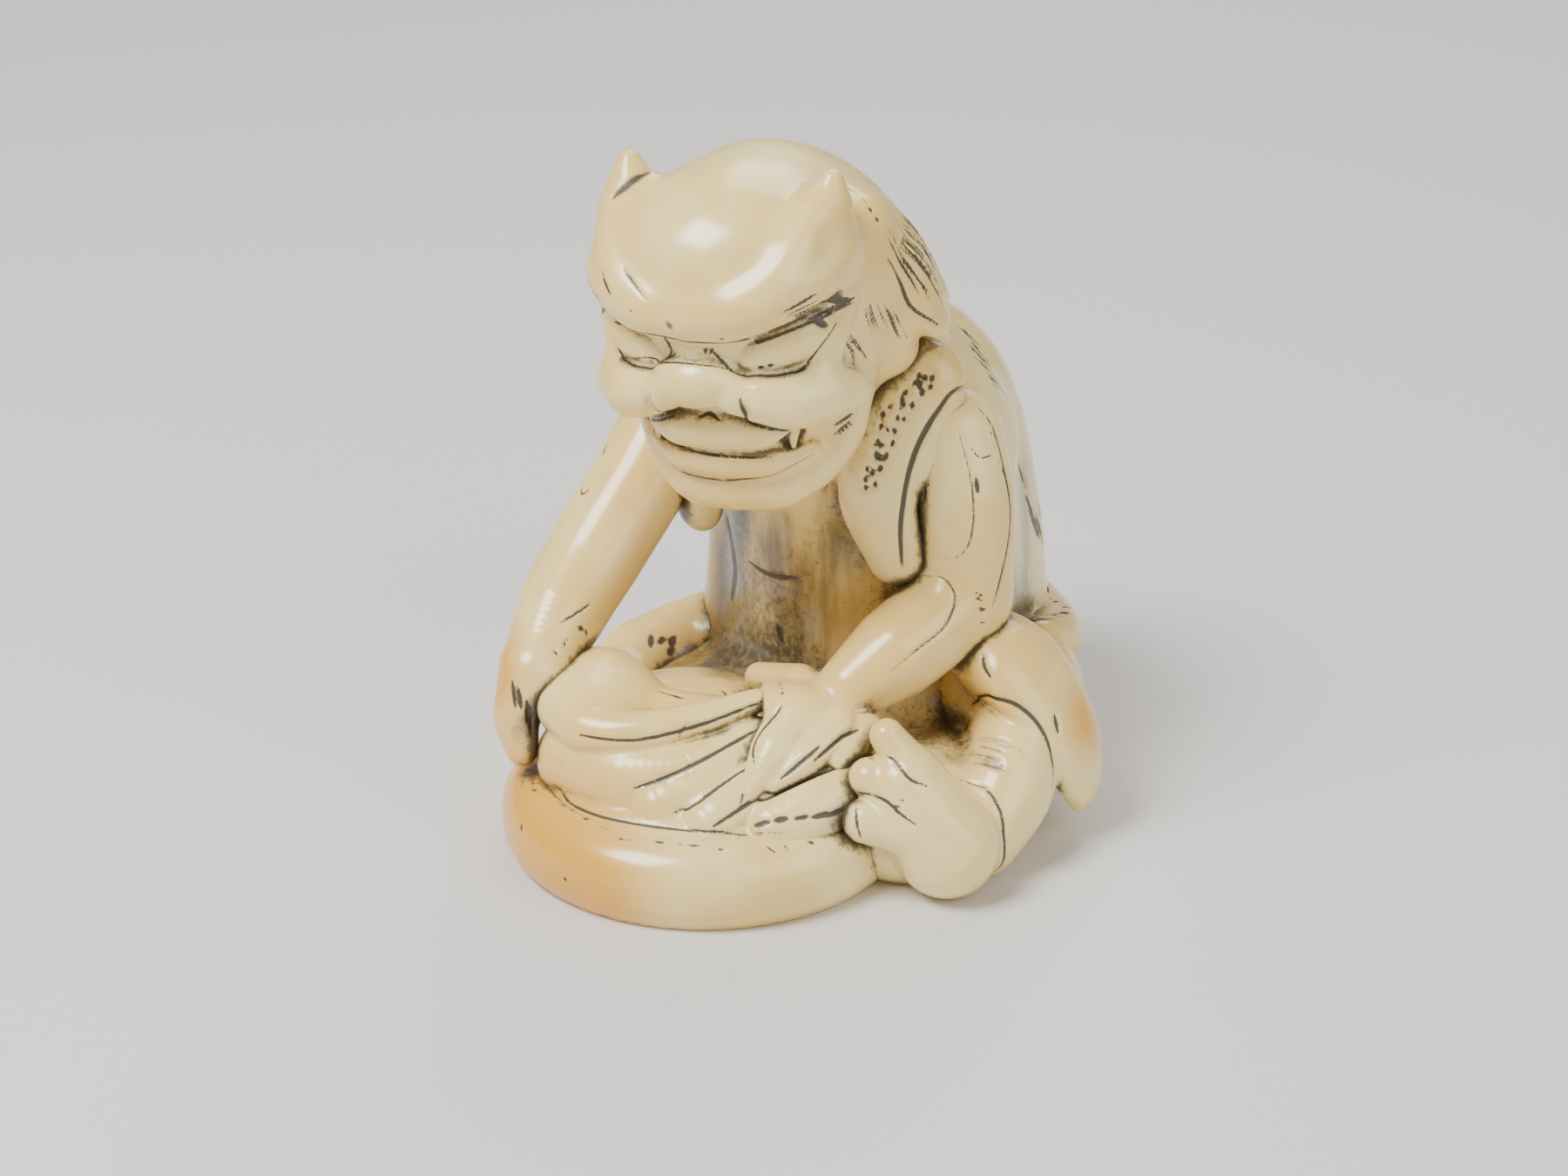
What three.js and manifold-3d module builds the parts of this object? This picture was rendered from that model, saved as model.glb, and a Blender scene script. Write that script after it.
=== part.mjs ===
// A netsuke: a seated demon with short horns leans over a round tray and wrings a cloth in it.
// The whole group is one solid, so it is described as one field: a signed distance that is zero on the
// skin, negative inside. Rounded forms are added to it with a soft blend and hollows are cut from it.
// Millimetres, +Z up. The demon faces -Y and its left hand is towards +X.
import * as THREE from 'three';
import { mergeVertices } from 'three/addons/utils/BufferGeometryUtils.js';
import Module from 'manifold-3d';

// Driving dimensions
const CELL = 0.5; // grid step of the skin
const FACETS = 9600;
const HEAD_AT = [0.1, -4.1, 26.8];
const HEAD_TURN = [10, -4, 13];

// ---------------------------------------------------------------- forms
const FAR = 9;
const rad = THREE.MathUtils.degToRad;

// A turned frame: rows of the matrix that takes a world offset into the form's own axes.
function axesOf(turn) {
  const e = new THREE.Matrix4()
    .makeRotationFromEuler(new THREE.Euler(rad(turn[0]), rad(turn[1]), rad(turn[2]), 'ZYX'))
    .elements;
  return [e[0], e[1], e[2], e[4], e[5], e[6], e[8], e[9], e[10]];
}

// An ellipsoid.
function ball(at, radii, turn = [0, 0, 0]) {
  const [cx, cy, cz] = at;
  const [a, b, c] = radii;
  const m = axesOf(turn);
  const least = Math.min(a, b, c);
  return {
    at,
    reach: Math.max(a, b, c),
    away(x, y, z) {
      const dx = x - cx, dy = y - cy, dz = z - cz;
      const u = (m[0] * dx + m[1] * dy + m[2] * dz) / a;
      const v = (m[3] * dx + m[4] * dy + m[5] * dz) / b;
      const w = (m[6] * dx + m[7] * dy + m[8] * dz) / c;
      const size = Math.sqrt(u * u + v * v + w * w);
      const slope = Math.sqrt((u * u) / (a * a) + (v * v) / (b * b) + (w * w) / (c * c));
      return slope > 1e-9 ? (size * (size - 1)) / slope : -least;
    },
  };
}

// A round bar through the points, with a radius at each; flat = { along, by } thins it along a direction.
function limb(points, radii, flat) {
  const at = points[0].map((_, i) => points.reduce((s, p) => s + p[i], 0) / points.length);
  const reach = Math.max(
    ...points.map((p, i) => Math.hypot(p[0] - at[0], p[1] - at[1], p[2] - at[2]) + radii[i]),
  );
  const n = flat ? new THREE.Vector3(...flat.along).normalize().toArray() : [0, 0, 1];
  const by = flat ? flat.by : 1;
  return {
    at,
    reach,
    away(x, y, z) {
      let best = FAR * 9;
      for (let i = 0; i + 1 < points.length; i++) {
        const [ax, ay, az] = points[i], [bx, by2, bz] = points[i + 1];
        const ux = bx - ax, uy = by2 - ay, uz = bz - az;
        const px = x - ax, py = y - ay, pz = z - az;
        const t = Math.min(1, Math.max(0, (px * ux + py * uy + pz * uz) / (ux * ux + uy * uy + uz * uz)));
        const r = radii[i] + (radii[i + 1] - radii[i]) * t;
        const qx = px - t * ux, qy = py - t * uy, qz = pz - t * uz;
        let d;
        if (by === 1) d = Math.sqrt(qx * qx + qy * qy + qz * qz) - r;
        else {
          const h = qx * n[0] + qy * n[1] + qz * n[2];
          const wide = Math.max(0, qx * qx + qy * qy + qz * qz - h * h);
          const size = Math.sqrt(wide / (r * r) + (h * h) / (r * r * by * by));
          const slope = Math.sqrt(wide / r ** 4 + (h * h) / (r * by) ** 4);
          d = slope > 1e-9 ? (size * (size - 1)) / slope : -r * by;
        }
        if (d < best) best = d;
      }
      return best;
    },
  };
}

// A smooth curve through a few points, as a limb of short pieces.
function bent(points, radii, flat, pieces = 4) {
  const curve = new THREE.CatmullRomCurve3(points.map((p) => new THREE.Vector3(...p)), false, 'centripetal');
  const n = pieces * (points.length - 1);
  const route = [], thick = [];
  for (let i = 0; i <= n; i++) {
    const s = i / n, k = Math.min(points.length - 2, Math.floor(s * (points.length - 1)));
    const f = s * (points.length - 1) - k;
    route.push(curve.getPoint(s).toArray());
    thick.push(radii[k] + (radii[k + 1] - radii[k]) * f);
  }
  return limb(route, thick, flat);
}

// A round dish: a disc with rounded edge, hollowed by its well.
function disc(at, radius, low, high, round) {
  return {
    at: [at[0], at[1], (low + high) / 2],
    reach: Math.hypot(radius, (high - low) / 2),
    away(x, y, z) {
      const r = Math.hypot(x - at[0], y - at[1]) - (radius - round);
      const h = Math.abs(z - (low + high) / 2) - ((high - low) / 2 - round);
      return Math.min(Math.max(r, h), 0) + Math.hypot(Math.max(r, 0), Math.max(h, 0)) - round;
    },
  };
}

const add = (blend, form) => ({ blend, form, sign: 1 });
const cut = (blend, form) => ({ blend, form, sign: -1 });
const both = (step) => ({ ...step, paired: true });

const softMin = (a, b, k) => {
  const h = Math.max(k - Math.abs(a - b), 0);
  return Math.min(a, b) - (h * h) / (4 * k);
};

// A part: steps taken in order, in a frame of its own.
function part(steps, at = [0, 0, 0], turn = [0, 0, 0]) {
  const m = axesOf(turn);
  return (x, y, z) => {
    const dx = x - at[0], dy = y - at[1], dz = z - at[2];
    const u = m[0] * dx + m[1] * dy + m[2] * dz;
    const v = m[3] * dx + m[4] * dy + m[5] * dz;
    const w = m[6] * dx + m[7] * dy + m[8] * dz;
    let d = FAR;
    for (const { blend, form, sign, paired } of steps) {
      const s = paired ? Math.abs(u) : u;
      const ox = s - form.at[0], oy = v - form.at[1], oz = w - form.at[2];
      const far = form.reach + Math.max(blend, 1.5);
      if (ox * ox + oy * oy + oz * oz > far * far) continue;
      const e = form.away(s, v, w);
      d = sign > 0 ? softMin(d, e, blend) : -softMin(-d, e, blend);
    }
    return d;
  };
}

// ---------------------------------------------------------------- head
const LOCKS = [14, 38, 62, 86];

// A lock of hair that starts on the crown and ends at the nape, at a turn from the side to the back.
function lock(turn) {
  const [c, s] = [Math.cos(rad(turn)), Math.sin(rad(turn))];
  const point = (out, z) => [out * c, 1.4 + out * s, z];
  return bent([point(5.0, 4.6), point(6.9, 2.2), point(7.4 + 0.7 * s, -0.2 - 0.5 * s)], [1.3, 2.0, 2.1],
    { along: [c, s, 0.7], by: 0.42 });
}

function head() {
  return part([
    // skull, forehead and face
    add(0.1, ball([0.25, 1.2, 1.1], [6.3, 7.3, 6.9])),
    add(1.5, ball([0.1, -2.0, 3.8], [6.0, 4.9, 4.5])),
    add(1.5, ball([0, -0.2, -1.6], [5.5, 5.4, 5.2])),
    add(1.2, ball([0, -2.4, -3.4], [4.3, 3.3, 3.2])),
    both(add(1.0, ball([4.9, 1.4, 2.8], [2.4, 3.6, 3.2]))),
    both(add(1.0, ball([4.0, 0.8, -1.0], [2.4, 3.4, 3.8]))),
    // brow, and the ridge that climbs from it to each horn
    both(add(0.8, bent([[0, -6.4, 3.4], [2.5, -6.1, 3.6], [4.2, -5.1, 4.0], [5.3, -3.7, 4.3],
      [5.6, -2.0, 4.5]],
      [1.2, 1.15, 1.1, 1.0, 0.8]))),
    both(add(1.3, bent([[2.3, -6.2, 3.8], [4.0, -5.3, 4.9], [4.8, -3.8, 6.0], [5.0, -2.4, 6.7]],
      [0.6, 0.6, 0.6, 0.7]))),
    // band of the eyes under the brow, bridge and eyes
    both(cut(0.12, bent([[0, -7.6, 1.5], [2.2, -7.2, 1.55], [4.2, -6.0, 1.85], [5.8, -4.3, 2.4],
      [6.7, -3.0, 2.7]],
      [0.75, 0.95, 1.05, 0.85, 0.3]))),
    add(0.06, ball([-0.1, -5.9, 1.85], [1.6, 0.9, 0.6])),
    both(add(0.06, ball([3.6, -4.5, 1.55], [2.6, 1.5, 1.35], [0, -15, 33]))),
    // cheek rolls, cheek bones
    both(add(0.4, bent([[2.7, -6.1, -0.8], [4.0, -5.4, -1.2], [5.1, -4.2, -1.4], [6.0, -3.1, -1.8],
      [6.6, -2.4, -2.1]],
      [1.2, 1.45, 1.35, 0.95, 0.3]))),
    both(cut(0.2, bent([[2.4, -6.6, -2.4], [4.2, -5.6, -3.1], [5.8, -3.8, -3.2]], [0.3, 0.45, 0.2]))),
    both(add(0.7, bent([[4.9, -4.0, -0.2], [5.4, -3.2, 1.1], [5.7, -2.4, 2.6]], [0.9, 0.8, 0.75]))),
    // nose
    add(0.4, ball([-0.2, -6.5, 0.15], [2.1, 1.5, 1.35])),
    both(add(0.4, ball([1.75, -6.5, -0.5], [0.95, 1.05, 0.95]))),
    both(cut(0.12, limb([[2.5, -7.6, 0.1], [2.45, -7.2, -1.6]], [0.12, 0.3]))),
    both(cut(0.15, ball([0.9, -7.1, -1.5], [0.4, 0.5, 0.35]))),
    // lips
    both(add(0.2, bent([[0, -5.6, -2.9], [1.8, -5.4, -2.95], [2.8, -4.9, -3.0]], [1.1, 1.05, 0.85]))),
    both(add(0.2, bent([[0, -5.4, -4.8], [2.2, -5.1, -4.8], [3.9, -4.0, -4.6]], [0.85, 0.75, 0.4]))),
    both(cut(0.12, ball([3.5, -4.9, -3.7], [0.75, 0.9, 0.6]))),
    both(add(0.1, limb([[3.5, -4.6, -3.0], [3.45, -4.85, -4.1]], [0.4, 0.12]))),
    // chin and jaw
    both(add(0.7, bent([[0, -4.4, -6.7], [2.1, -4.1, -6.6], [3.6, -3.0, -5.9], [4.6, -1.8, -4.7],
      [5.1, -1.2, -3.0]],
      [1.3, 1.3, 1.25, 1.2, 1.1]))),
    // horns
    add(0.9, bent([[4.8, -1.7, 5.0], [5.2, -1.2, 6.6], [5.45, -0.8, 7.8]], [1.7, 1.2, 0.55])),
    add(0.9, bent([[-4.5, -1.5, 5.2], [-4.7, -1.0, 7.0], [-4.75, -0.7, 8.3]], [1.8, 1.25, 0.55])),
    // hair that falls to the nape in broad locks
    add(0.8, ball([0, 4.4, 0.2], [6.6, 5.4, 6.2])),
    ...LOCKS.map((turn) => both(add(0.25, lock(turn)))),
    both(add(0.7, bent([[6.0, 0.8, 2.2], [6.1, 1.5, 0], [5.7, 2.2, -2.2]], [1.3, 1.65, 1.7]))),
  ], HEAD_AT, HEAD_TURN);
}

function torso() {
  return part([
    add(0.1, bent([[0, 8.6, 4], [0, 8.0, 11], [0, 6.6, 17.5], [0, 3.2, 21.2]], [8.6, 8.3, 7.7, 5.8])),
    both(add(2.0, ball([5.4, 3.6, 19.6], [4.0, 4.2, 3.8]))),
    both(add(0.6, ball([3.9, 4.2, 24.4], [1.7, 1.7, 1.5]))),
    add(1.5, ball([0, 8.4, 4.4], [10.4, 7.8, 5.2])),
    add(1.5, ball([0, 2.0, 2.4], [10.6, 8.4, 3.4])),
    both(add(1.5, bent([[6.0, 5.4, 18.2], [6.6, 5.6, 12], [7.0, 5.6, 7]], [2.6, 2.4, 2.4]))),
    // waist roll of the loincloth
    add(0.6, bent([[-9.6, 9.4, 6.8], [-6.0, 13.4, 6.2], [0, 15.2, 6.0], [6.0, 13.4, 6.6],
      [9.6, 9.4, 7.4], [10.4, 6.6, 8.4]],
      [0.8, 1.5, 1.4, 1.5, 1.5, 1.2])),
    // vest fronts
    both(add(0.6, bent([[6.1, 1.4, 23.0], [5.4, 0.1, 20.8], [5.3, -0.8, 17.6], [6.0, -0.2, 14.4]],
      [2.4, 2.2, 2.0, 1.5],
      { along: [0.3, -1, 0.1], by: 0.65 }))),
  ]);
}

function leftArm() {
  return part([
    add(0.1, bent([[7.3, 2.8, 20.2], [8.3, 2.4, 16.6], [8.6, 2.2, 12.4]], [2.5, 2.55, 2.3])),
    add(1.0, bent([[8.5, 1.6, 11.8], [7.3, -2.0, 10.2], [6.2, -4.2, 8.9]], [2.4, 2.3, 1.7])),
    // hand: palm, thumb and fingers
    add(1.0, ball([4.7, -5.9, 8.0], [2.6, 2.4, 1.15], [-14, 8, 0])),
    add(0.6, limb([[3.4, -4.8, 8.5], [1.0, -4.8, 8.2]], [1.0, 0.75])),
    add(0.6, bent([[4.8, -6.8, 7.9], [5.0, -9.2, 7.0], [4.95, -11.2, 5.6]], [1.5, 1.2, 0.5])),
    add(0.2, bent([[6.8, -6.4, 7.7], [6.5, -8.8, 6.8], [5.8, -10.4, 5.9]], [1.1, 0.85, 0.4])),
    add(0.2, limb([[7.8, -5.6, 7.4], [7.7, -7.6, 6.6]], [1.0, 0.6])),
  ]);
}

function rightArm() {
  return part([
    add(0.1, bent([[-8.2, 2.2, 19.8], [-8.4, -2.0, 15.8], [-8.9, -5.4, 12.6], [-8.7, -8.4, 10.6],
      [-8.0, -11.2, 8.8]],
      [2.7, 2.5, 2.5, 2.3, 1.8])),
    // hand hooked under the cloth
    add(0.8, bent([[-7.9, -11.6, 8.5], [-8.0, -12.9, 6.8], [-7.2, -13.6, 5.4]], [1.65, 1.2, 0.8])),
  ]);
}

function leftLeg() {
  return part([
    add(0.1, bent([[5, 8, 5], [9.5, 5.4, 5.6], [12.0, 2.8, 5.4]], [4.4, 3.8, 2.8])),
    add(0.8, ball([9.0, -2.4, 2.4], [4.6, 5.6, 3.4])),
    add(0.6, bent([[12.4, 1.2, 5.2], [12.9, -0.8, 3.6], [12.7, -2.8, 2.1]], [2.4, 2.4, 2.2])),
    // flap of the loincloth over the knee
    add(0.2, bent([[9.2, 3.0, 9.0], [12.0, 2.6, 8.4], [13.9, 3.0, 6.0], [14.6, 3.3, 3.6],
      [14.7, 3.4, 2.1]], [2.6, 2.9, 2.5, 1.7, 0.8],
      { along: [0.85, 0, 0.55], by: 0.5 })),
    // foot and toes
    add(0.3, bent([[12.6, -5.5, 2.6], [11.6, -6.2, 4.4], [10.8, -6.5, 5.8]], [2.6, 2.3, 2.0])),
    add(0.3, limb([[10.9, -6.3, 6.6], [9.9, -6.8, 8.3]], [1.2, 0.85])),
    add(0.3, limb([[10.6, -7.1, 5.6], [9.5, -7.7, 6.3]], [1.2, 1.0])),
    add(0.3, limb([[11.2, -7.4, 4.1], [9.8, -8.5, 4.4]], [1.4, 1.1])),
  ]);
}

function rightLeg() {
  return part([
    add(0.1, bent([[-5, 7, 4], [-9.4, 4.6, 3.4], [-11.2, 1.8, 3.0]], [4.0, 3.0, 2.6])),
    add(0.6, bent([[-11.2, 1.4, 2.8], [-10.4, -2.0, 2.4], [-9.0, -4.4, 2.2]], [2.5, 2.3, 2.0])),
  ]);
}

function tray() {
  return part([
    add(0.1, disc([-0.4, -7.4], 10.3, -0.6, 4.2, 2.2)),
    cut(0.3, disc([-0.4, -7.4], 8.1, 2.6, 9, 0.8)),
  ]);
}

function cloth() {
  return part([
    add(0.1, ball([-0.4, -7.4, 3.2], [8.7, 8.7, 2.3])),
    add(0.8, ball([-1.6, -5.0, 4.4], [6.6, 4.4, 2.8])),
    add(0.4, ball([2.5, -8.4, 6.7], [1.7, 1.4, 1.2])),
    // folds that fan out from under the left hand
    add(0.3, bent([[-4.4, -11.8, 5.0], [-1.4, -12.0, 4.8], [1.6, -10.6, 5.4], [3.6, -7.6, 6.9]],
      [2.6, 2.6, 2.0, 0.9])),
    add(0.1, bent([[0.8, -12.6, 4.1], [2.4, -11.0, 5.2], [3.8, -8.4, 6.7]], [2.0, 1.5, 0.7])),
    add(0.1, bent([[3.4, -12.0, 3.7], [4.2, -10.6, 4.9], [4.4, -8.6, 6.3]], [2.0, 1.5, 0.7])),
    add(0.1, bent([[6.0, -10.4, 3.6], [7.4, -8.6, 4.7], [8.0, -6.4, 5.4]], [2.0, 1.7, 1.3])),
    // upper layer, with a rolled edge, between the hands
    add(0.4, ball([-4.4, -10.8, 7.7], [2.9, 2.9, 1.7], [0, 10, 0])),
    add(0.6, bent([[-5.0, -9.4, 8.6], [-2.2, -9.4, 7.5], [0.8, -8.2, 7.5]], [1.8, 1.6, 1.2],
      { along: [0.2, 0, 1], by: 0.6 })),
    add(0.2, bent([[-5.5, -12.2, 7.6], [-3.4, -12.9, 7.3], [-1.0, -12.1, 7.5], [1.0, -10.2, 8.0],
      [2.8, -7.6, 8.5]], [1.4, 1.3, 1.1, 0.85, 0.6])),
  ]);
}

const parts = [head(), torso(), leftArm(), rightArm(), leftLeg(), rightLeg(), tray(), cloth()];
const SEAM = 0.25;
const field = (x, y, z) => {
  let d = FAR;
  for (const p of parts) d = softMin(d, p(x, y, z), SEAM);
  return Math.max(d, -1 - z);
};

// ---------------------------------------------------------------- skin
// The surface where the field is zero, as a net of four-sided meshes. Each grid cell that the surface crosses
// holds one vertex for each sheet in it, so sheets that pass close together stay apart.
const BITS = [1, 2, 4];
const EDGES = [0, 1, 2, 3, 4, 5, 6, 7].flatMap((c) => BITS.filter((bit) => !(c & bit)).map((bit) => [c,
  c | bit]));
const edgeOf = (c, d) => EDGES.findIndex(([p, q]) => (p === c && q === d) || (p === d && q === c));
const FACES = [0, 1, 2].flatMap((q) =>
  [0, BITS[q]].map((side) => {
    const [e, f] = [BITS[(q + 1) % 3], BITS[(q + 2) % 3]];
    const corners = [side, side | e, side | e | f, side | f];
    return { corners, edges: corners.map((c, i) => edgeOf(c, corners[(i + 1) % 4])) };
  }),
);

// The sheets in a cell, as groups of the edges they cross. Where a side of the cell is crossed by four
// edges, each inner corner is cut off on its own.
function sheets(v) {
  let group = EDGES.map((_, i) => i);
  const join = (p, q) => {
    group = group.map((g, _, all) => (g === all[q] ? all[p] : g));
  };
  for (const { corners, edges } of FACES) {
    const crossed = edges.filter((e) => v[EDGES[e][0]] < 0 !== v[EDGES[e][1]] < 0);
    if (crossed.length === 2) join(crossed[0], crossed[1]);
    if (crossed.length === 4) corners.forEach((c, i) => v[c] < 0 && join(edges[(i + 3) % 4], edges[i]));
  }
  const found = new Map();
  EDGES.forEach(([c, d], i) => {
    if (v[c] < 0 === v[d] < 0) return;
    found.set(group[i], [...(found.get(group[i]) ?? []), i]);
  });
  return [...found.values()];
}

function skin(away, low, high, cell) {
  const n = low.map((v, i) => Math.ceil((high[i] - v) / cell) + 1);
  const value = new Float32Array(n[0] * n[1] * n[2]);
  const at = (i, j, k) => i + n[0] * (j + n[1] * k);
  for (let k = 0; k < n[2]; k++)
    for (let j = 0; j < n[1]; j++)
      for (let i = 0; i < n[0]; i++)
        value[at(i, j, k)] = away(low[0] + i * cell, low[1] + j * cell, low[2] + k * cell);
  const vertexOf = new Map();
  const positions = [];
  const place = (c) => [c & 1, (c >> 1) & 1, c >> 2];
  for (let k = 0; k + 1 < n[2]; k++)
    for (let j = 0; j + 1 < n[1]; j++)
      for (let i = 0; i + 1 < n[0]; i++) {
        const v = [0, 1, 2, 3, 4, 5, 6, 7].map((c) => value[at(i + (c & 1), j + ((c >> 1) & 1),
          k + (c >> 2))]);
        const inside = v.filter((d) => d < 0).length;
        if (inside === 0 || inside === 8) continue;
        for (const sheet of sheets(v)) {
          const mean = [0, 0, 0];
          for (const e of sheet) {
            const [c, d] = EDGES[e], t = v[c] / (v[c] - v[d]);
            for (let q = 0; q < 3; q++) mean[q] += (place(c)[q] + t * (place(d)[q] - place(c)[q])) / sheet.length;
            vertexOf.set(12 * at(i, j, k) + e, positions.length / 3);
          }
          positions.push(...mean.map((m, q) => low[q] + ([i, j, k][q] + m) * cell));
        }
      }
  const triangles = [];
  for (let k = 1; k + 1 < n[2]; k++)
    for (let j = 1; j + 1 < n[1]; j++)
      for (let i = 1; i + 1 < n[0]; i++)
        for (let q = 0; q < 3; q++) {
          const here = value[at(i, j, k)] < 0;
          const there = value[at(...[i, j, k].map((v, p) => v + (p === q)))] < 0;
          if (here === there) continue;
          const [e, f] = [(q + 1) % 3, (q + 2) % 3];
          const vertexIn = (s, t) => {
            const corner = s * BITS[e] + t * BITS[f];
            const cellAt = at(...[i, j, k].map((v, p) => v - s * (p === e) - t * (p === f)));
            return vertexOf.get(12 * cellAt + edgeOf(corner, corner | BITS[q]));
          };
          const ring = [vertexIn(0, 0), vertexIn(1, 0), vertexIn(1, 1), vertexIn(0, 1)];
          if (!here) ring.reverse();
          triangles.push(ring[0], ring[1], ring[2], ring[0], ring[2], ring[3]);
        }
  return { positions: new Float32Array(positions), triangles };
}

// Moves each vertex onto the zero of the field.
function settle(positions, away) {
  const h = 0.02;
  for (let round = 0; round < 3; round++)
    for (let i = 0; i < positions.length; i += 3) {
      const [x, y, z] = positions.subarray(i, i + 3);
      const d = away(x, y, z);
      const g = [
        (away(x + h, y, z) - away(x - h, y, z)) / (2 * h),
        (away(x, y + h, z) - away(x, y - h, z)) / (2 * h),
        (away(x, y, z + h) - away(x, y, z - h)) / (2 * h),
      ];
      const size = g[0] ** 2 + g[1] ** 2 + g[2] ** 2;
      if (size < 0.05) continue;
      const step = THREE.MathUtils.clamp(d, -0.3 * CELL, 0.3 * CELL) / Math.max(size, 0.5);
      for (let q = 0; q < 3; q++) positions[i + q] -= step * g[q];
    }
}

const LOW = [-17, -20, -1.5], HIGH = [18, 19, 38];
const net = skin(field, LOW, HIGH, CELL);
settle(net.positions, field);

// ---------------------------------------------------------------- facets
// Joins the two ends of the edge that changes the surface least, again and again, until few triangles are
// left. Each vertex carries the sum of the squared distances to the planes of its triangles, as ten numbers.
function fewer(positions, triangles, target) {
  const count = positions.length / 3;
  const faces = [], around = Array.from({ length: count }, () => new Set());
  for (let i = 0; i < triangles.length; i += 3) {
    const face = [triangles[i], triangles[i + 1], triangles[i + 2]];
    for (const v of face) around[v].add(faces.length);
    faces.push(face);
  }
  const point = Array.from({ length: count }, (_, i) => Array.from(positions.subarray(3 * i, 3 * i + 3)));
  const cross = (p, q, r) => {
    const [a, b] = [q.map((v, i) => v - p[i]), r.map((v, i) => v - p[i])];
    return [a[1] * b[2] - a[2] * b[1], a[2] * b[0] - a[0] * b[2], a[0] * b[1] - a[1] * b[0]];
  };
  const dot = (a, b) => a[0] * b[0] + a[1] * b[1] + a[2] * b[2];
  const errors = Array.from({ length: count }, () => new Float64Array(10));
  for (const face of faces) {
    const n = cross(...face.map((v) => point[v])), area = Math.hypot(...n) || 1e-12;
    const [x, y, z] = n.map((v) => v / area), w = -dot([x, y, z], point[face[0]]);
    const terms = [x * x, x * y, x * z, x * w, y * y, y * z, y * w, z * z, z * w, w * w];
    for (const v of face) terms.forEach((t, i) => (errors[v][i] += t * area));
  }
  const cost = (e, [x, y, z]) =>
    e[0] * x * x + 2 * e[1] * x * y + 2 * e[2] * x * z + 2 * e[3] * x + e[4] * y * y +
    2 * e[5] * y * z + 2 * e[6] * y + e[7] * z * z + 2 * e[8] * z + e[9];
  const best = (e, p, q) => {
    const [a, b, c, d, f, g] = [e[0], e[1], e[2], e[4], e[5], e[7]];
    const det = a * (d * g - f * f) - b * (b * g - f * c) + c * (b * f - d * c);
    const half = p.map((v, i) => (v + q[i]) / 2);
    const tries = [p, q, half];
    if (Math.abs(det) > 1e-7) {
      const [r, s, t] = [-e[3], -e[6], -e[8]];
      const solved = [
        (r * (d * g - f * f) - b * (s * g - f * t) + c * (s * f - d * t)) / det,
        (a * (s * g - f * t) - r * (b * g - f * c) + c * (b * t - s * c)) / det,
        (a * (d * t - s * f) - b * (b * t - s * c) + r * (b * f - d * c)) / det,
      ];
      if (Math.hypot(...solved.map((v, i) => v - half[i])) < 1.5) tries.push(solved);
    }
    return tries.map((at) => ({ at, cost: cost(e, at) })).reduce((m, t) => (t.cost < m.cost ? t : m));
  };
  // a heap of edges, cheapest first; an edge whose ends have changed since is skipped
  const heap = [], stamp = new Uint32Array(count);
  const push = (item) => {
    let i = heap.push(item) - 1;
    while (i > 0 && heap[(i - 1) >> 1].cost > item.cost) [heap[i], i] = [heap[(i - 1) >> 1], (i - 1) >> 1];
    heap[i] = item;
  };
  const pop = () => {
    const top = heap[0], item = heap.pop();
    if (heap.length === 0) return top;
    let i = 0;
    for (;;) {
      let c = 2 * i + 1;
      if (c >= heap.length) break;
      if (c + 1 < heap.length && heap[c + 1].cost < heap[c].cost) c++;
      if (heap[c].cost >= item.cost) break;
      [heap[i], i] = [heap[c], c];
    }
    heap[i] = item;
    return top;
  };
  const offer = (a, b) => {
    const e = errors[a].map((v, i) => v + errors[b][i]);
    const short = 1e-4 * Math.hypot(...point[a].map((v, i) => v - point[b][i]));
    const found = best(e, point[a], point[b]);
    push({ a, b, at: found.at, cost: Math.max(found.cost, 0) + short, when: [stamp[a], stamp[b]] });
  };
  const ring = (v) => new Set([...around[v]].flatMap((f) => faces[f]).filter((u) => u !== v));
  for (let v = 0; v < count; v++) for (const u of ring(v)) if (v < u) offer(v, u);
  let left = faces.length;
  while (left > target && heap.length) {
    const { a, b, at, when } = pop();
    if (stamp[a] !== when[0] || stamp[b] !== when[1] || !around[a].size || !around[b].size) continue;
    const [ra, rb] = [ring(a), ring(b)];
    if ([...ra].filter((v) => rb.has(v)).length !== 2) continue;
    const shared = [...around[a]].filter((f) => around[b].has(f));
    const turned = [a, b].some((v) =>
      [...around[v]].some((f) => {
        if (shared.includes(f)) return false;
        const before = cross(...faces[f].map((u) => point[u]));
        const after = cross(...faces[f].map((u) => (u === v ? at : point[u])));
        return dot(before, after) < 0.2 * Math.hypot(...before) * Math.hypot(...after);
      }),
    );
    if (turned) continue;
    point[a] = at;
    errors[b].forEach((v, i) => (errors[a][i] += v));
    for (const f of shared) {
      for (const v of faces[f]) around[v].delete(f);
      left--;
    }
    for (const f of around[b]) {
      faces[f] = faces[f].map((v) => (v === b ? a : v));
      around[a].add(f);
    }
    around[b].clear();
    for (const v of [a, b]) stamp[v]++;
    for (const v of ring(a)) offer(a, v);
  }
  const used = new Map(), kept = [], index = [];
  for (let v = 0; v < count; v++)
    if (around[v].size) {
      used.set(v, used.size);
      kept.push(...point[v]);
      for (const f of around[v]) if (faces[f][0] === v) index.push(...faces[f]);
    }
  return { positions: new Float32Array(kept), triangles: index.map((v) => used.get(v)) };
}

const facets = fewer(net.positions, net.triangles, FACETS);

// ---------------------------------------------------------------- underside
// The foot of the piece is ground flat, so that it stands.
const wasm = await Module();
wasm.setup();

function solidOf(positions, triangles) {
  return new wasm.Manifold(new wasm.Mesh({ numProp: 3, vertProperties: positions,
    triVerts: new Uint32Array(triangles) }));
}

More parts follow.
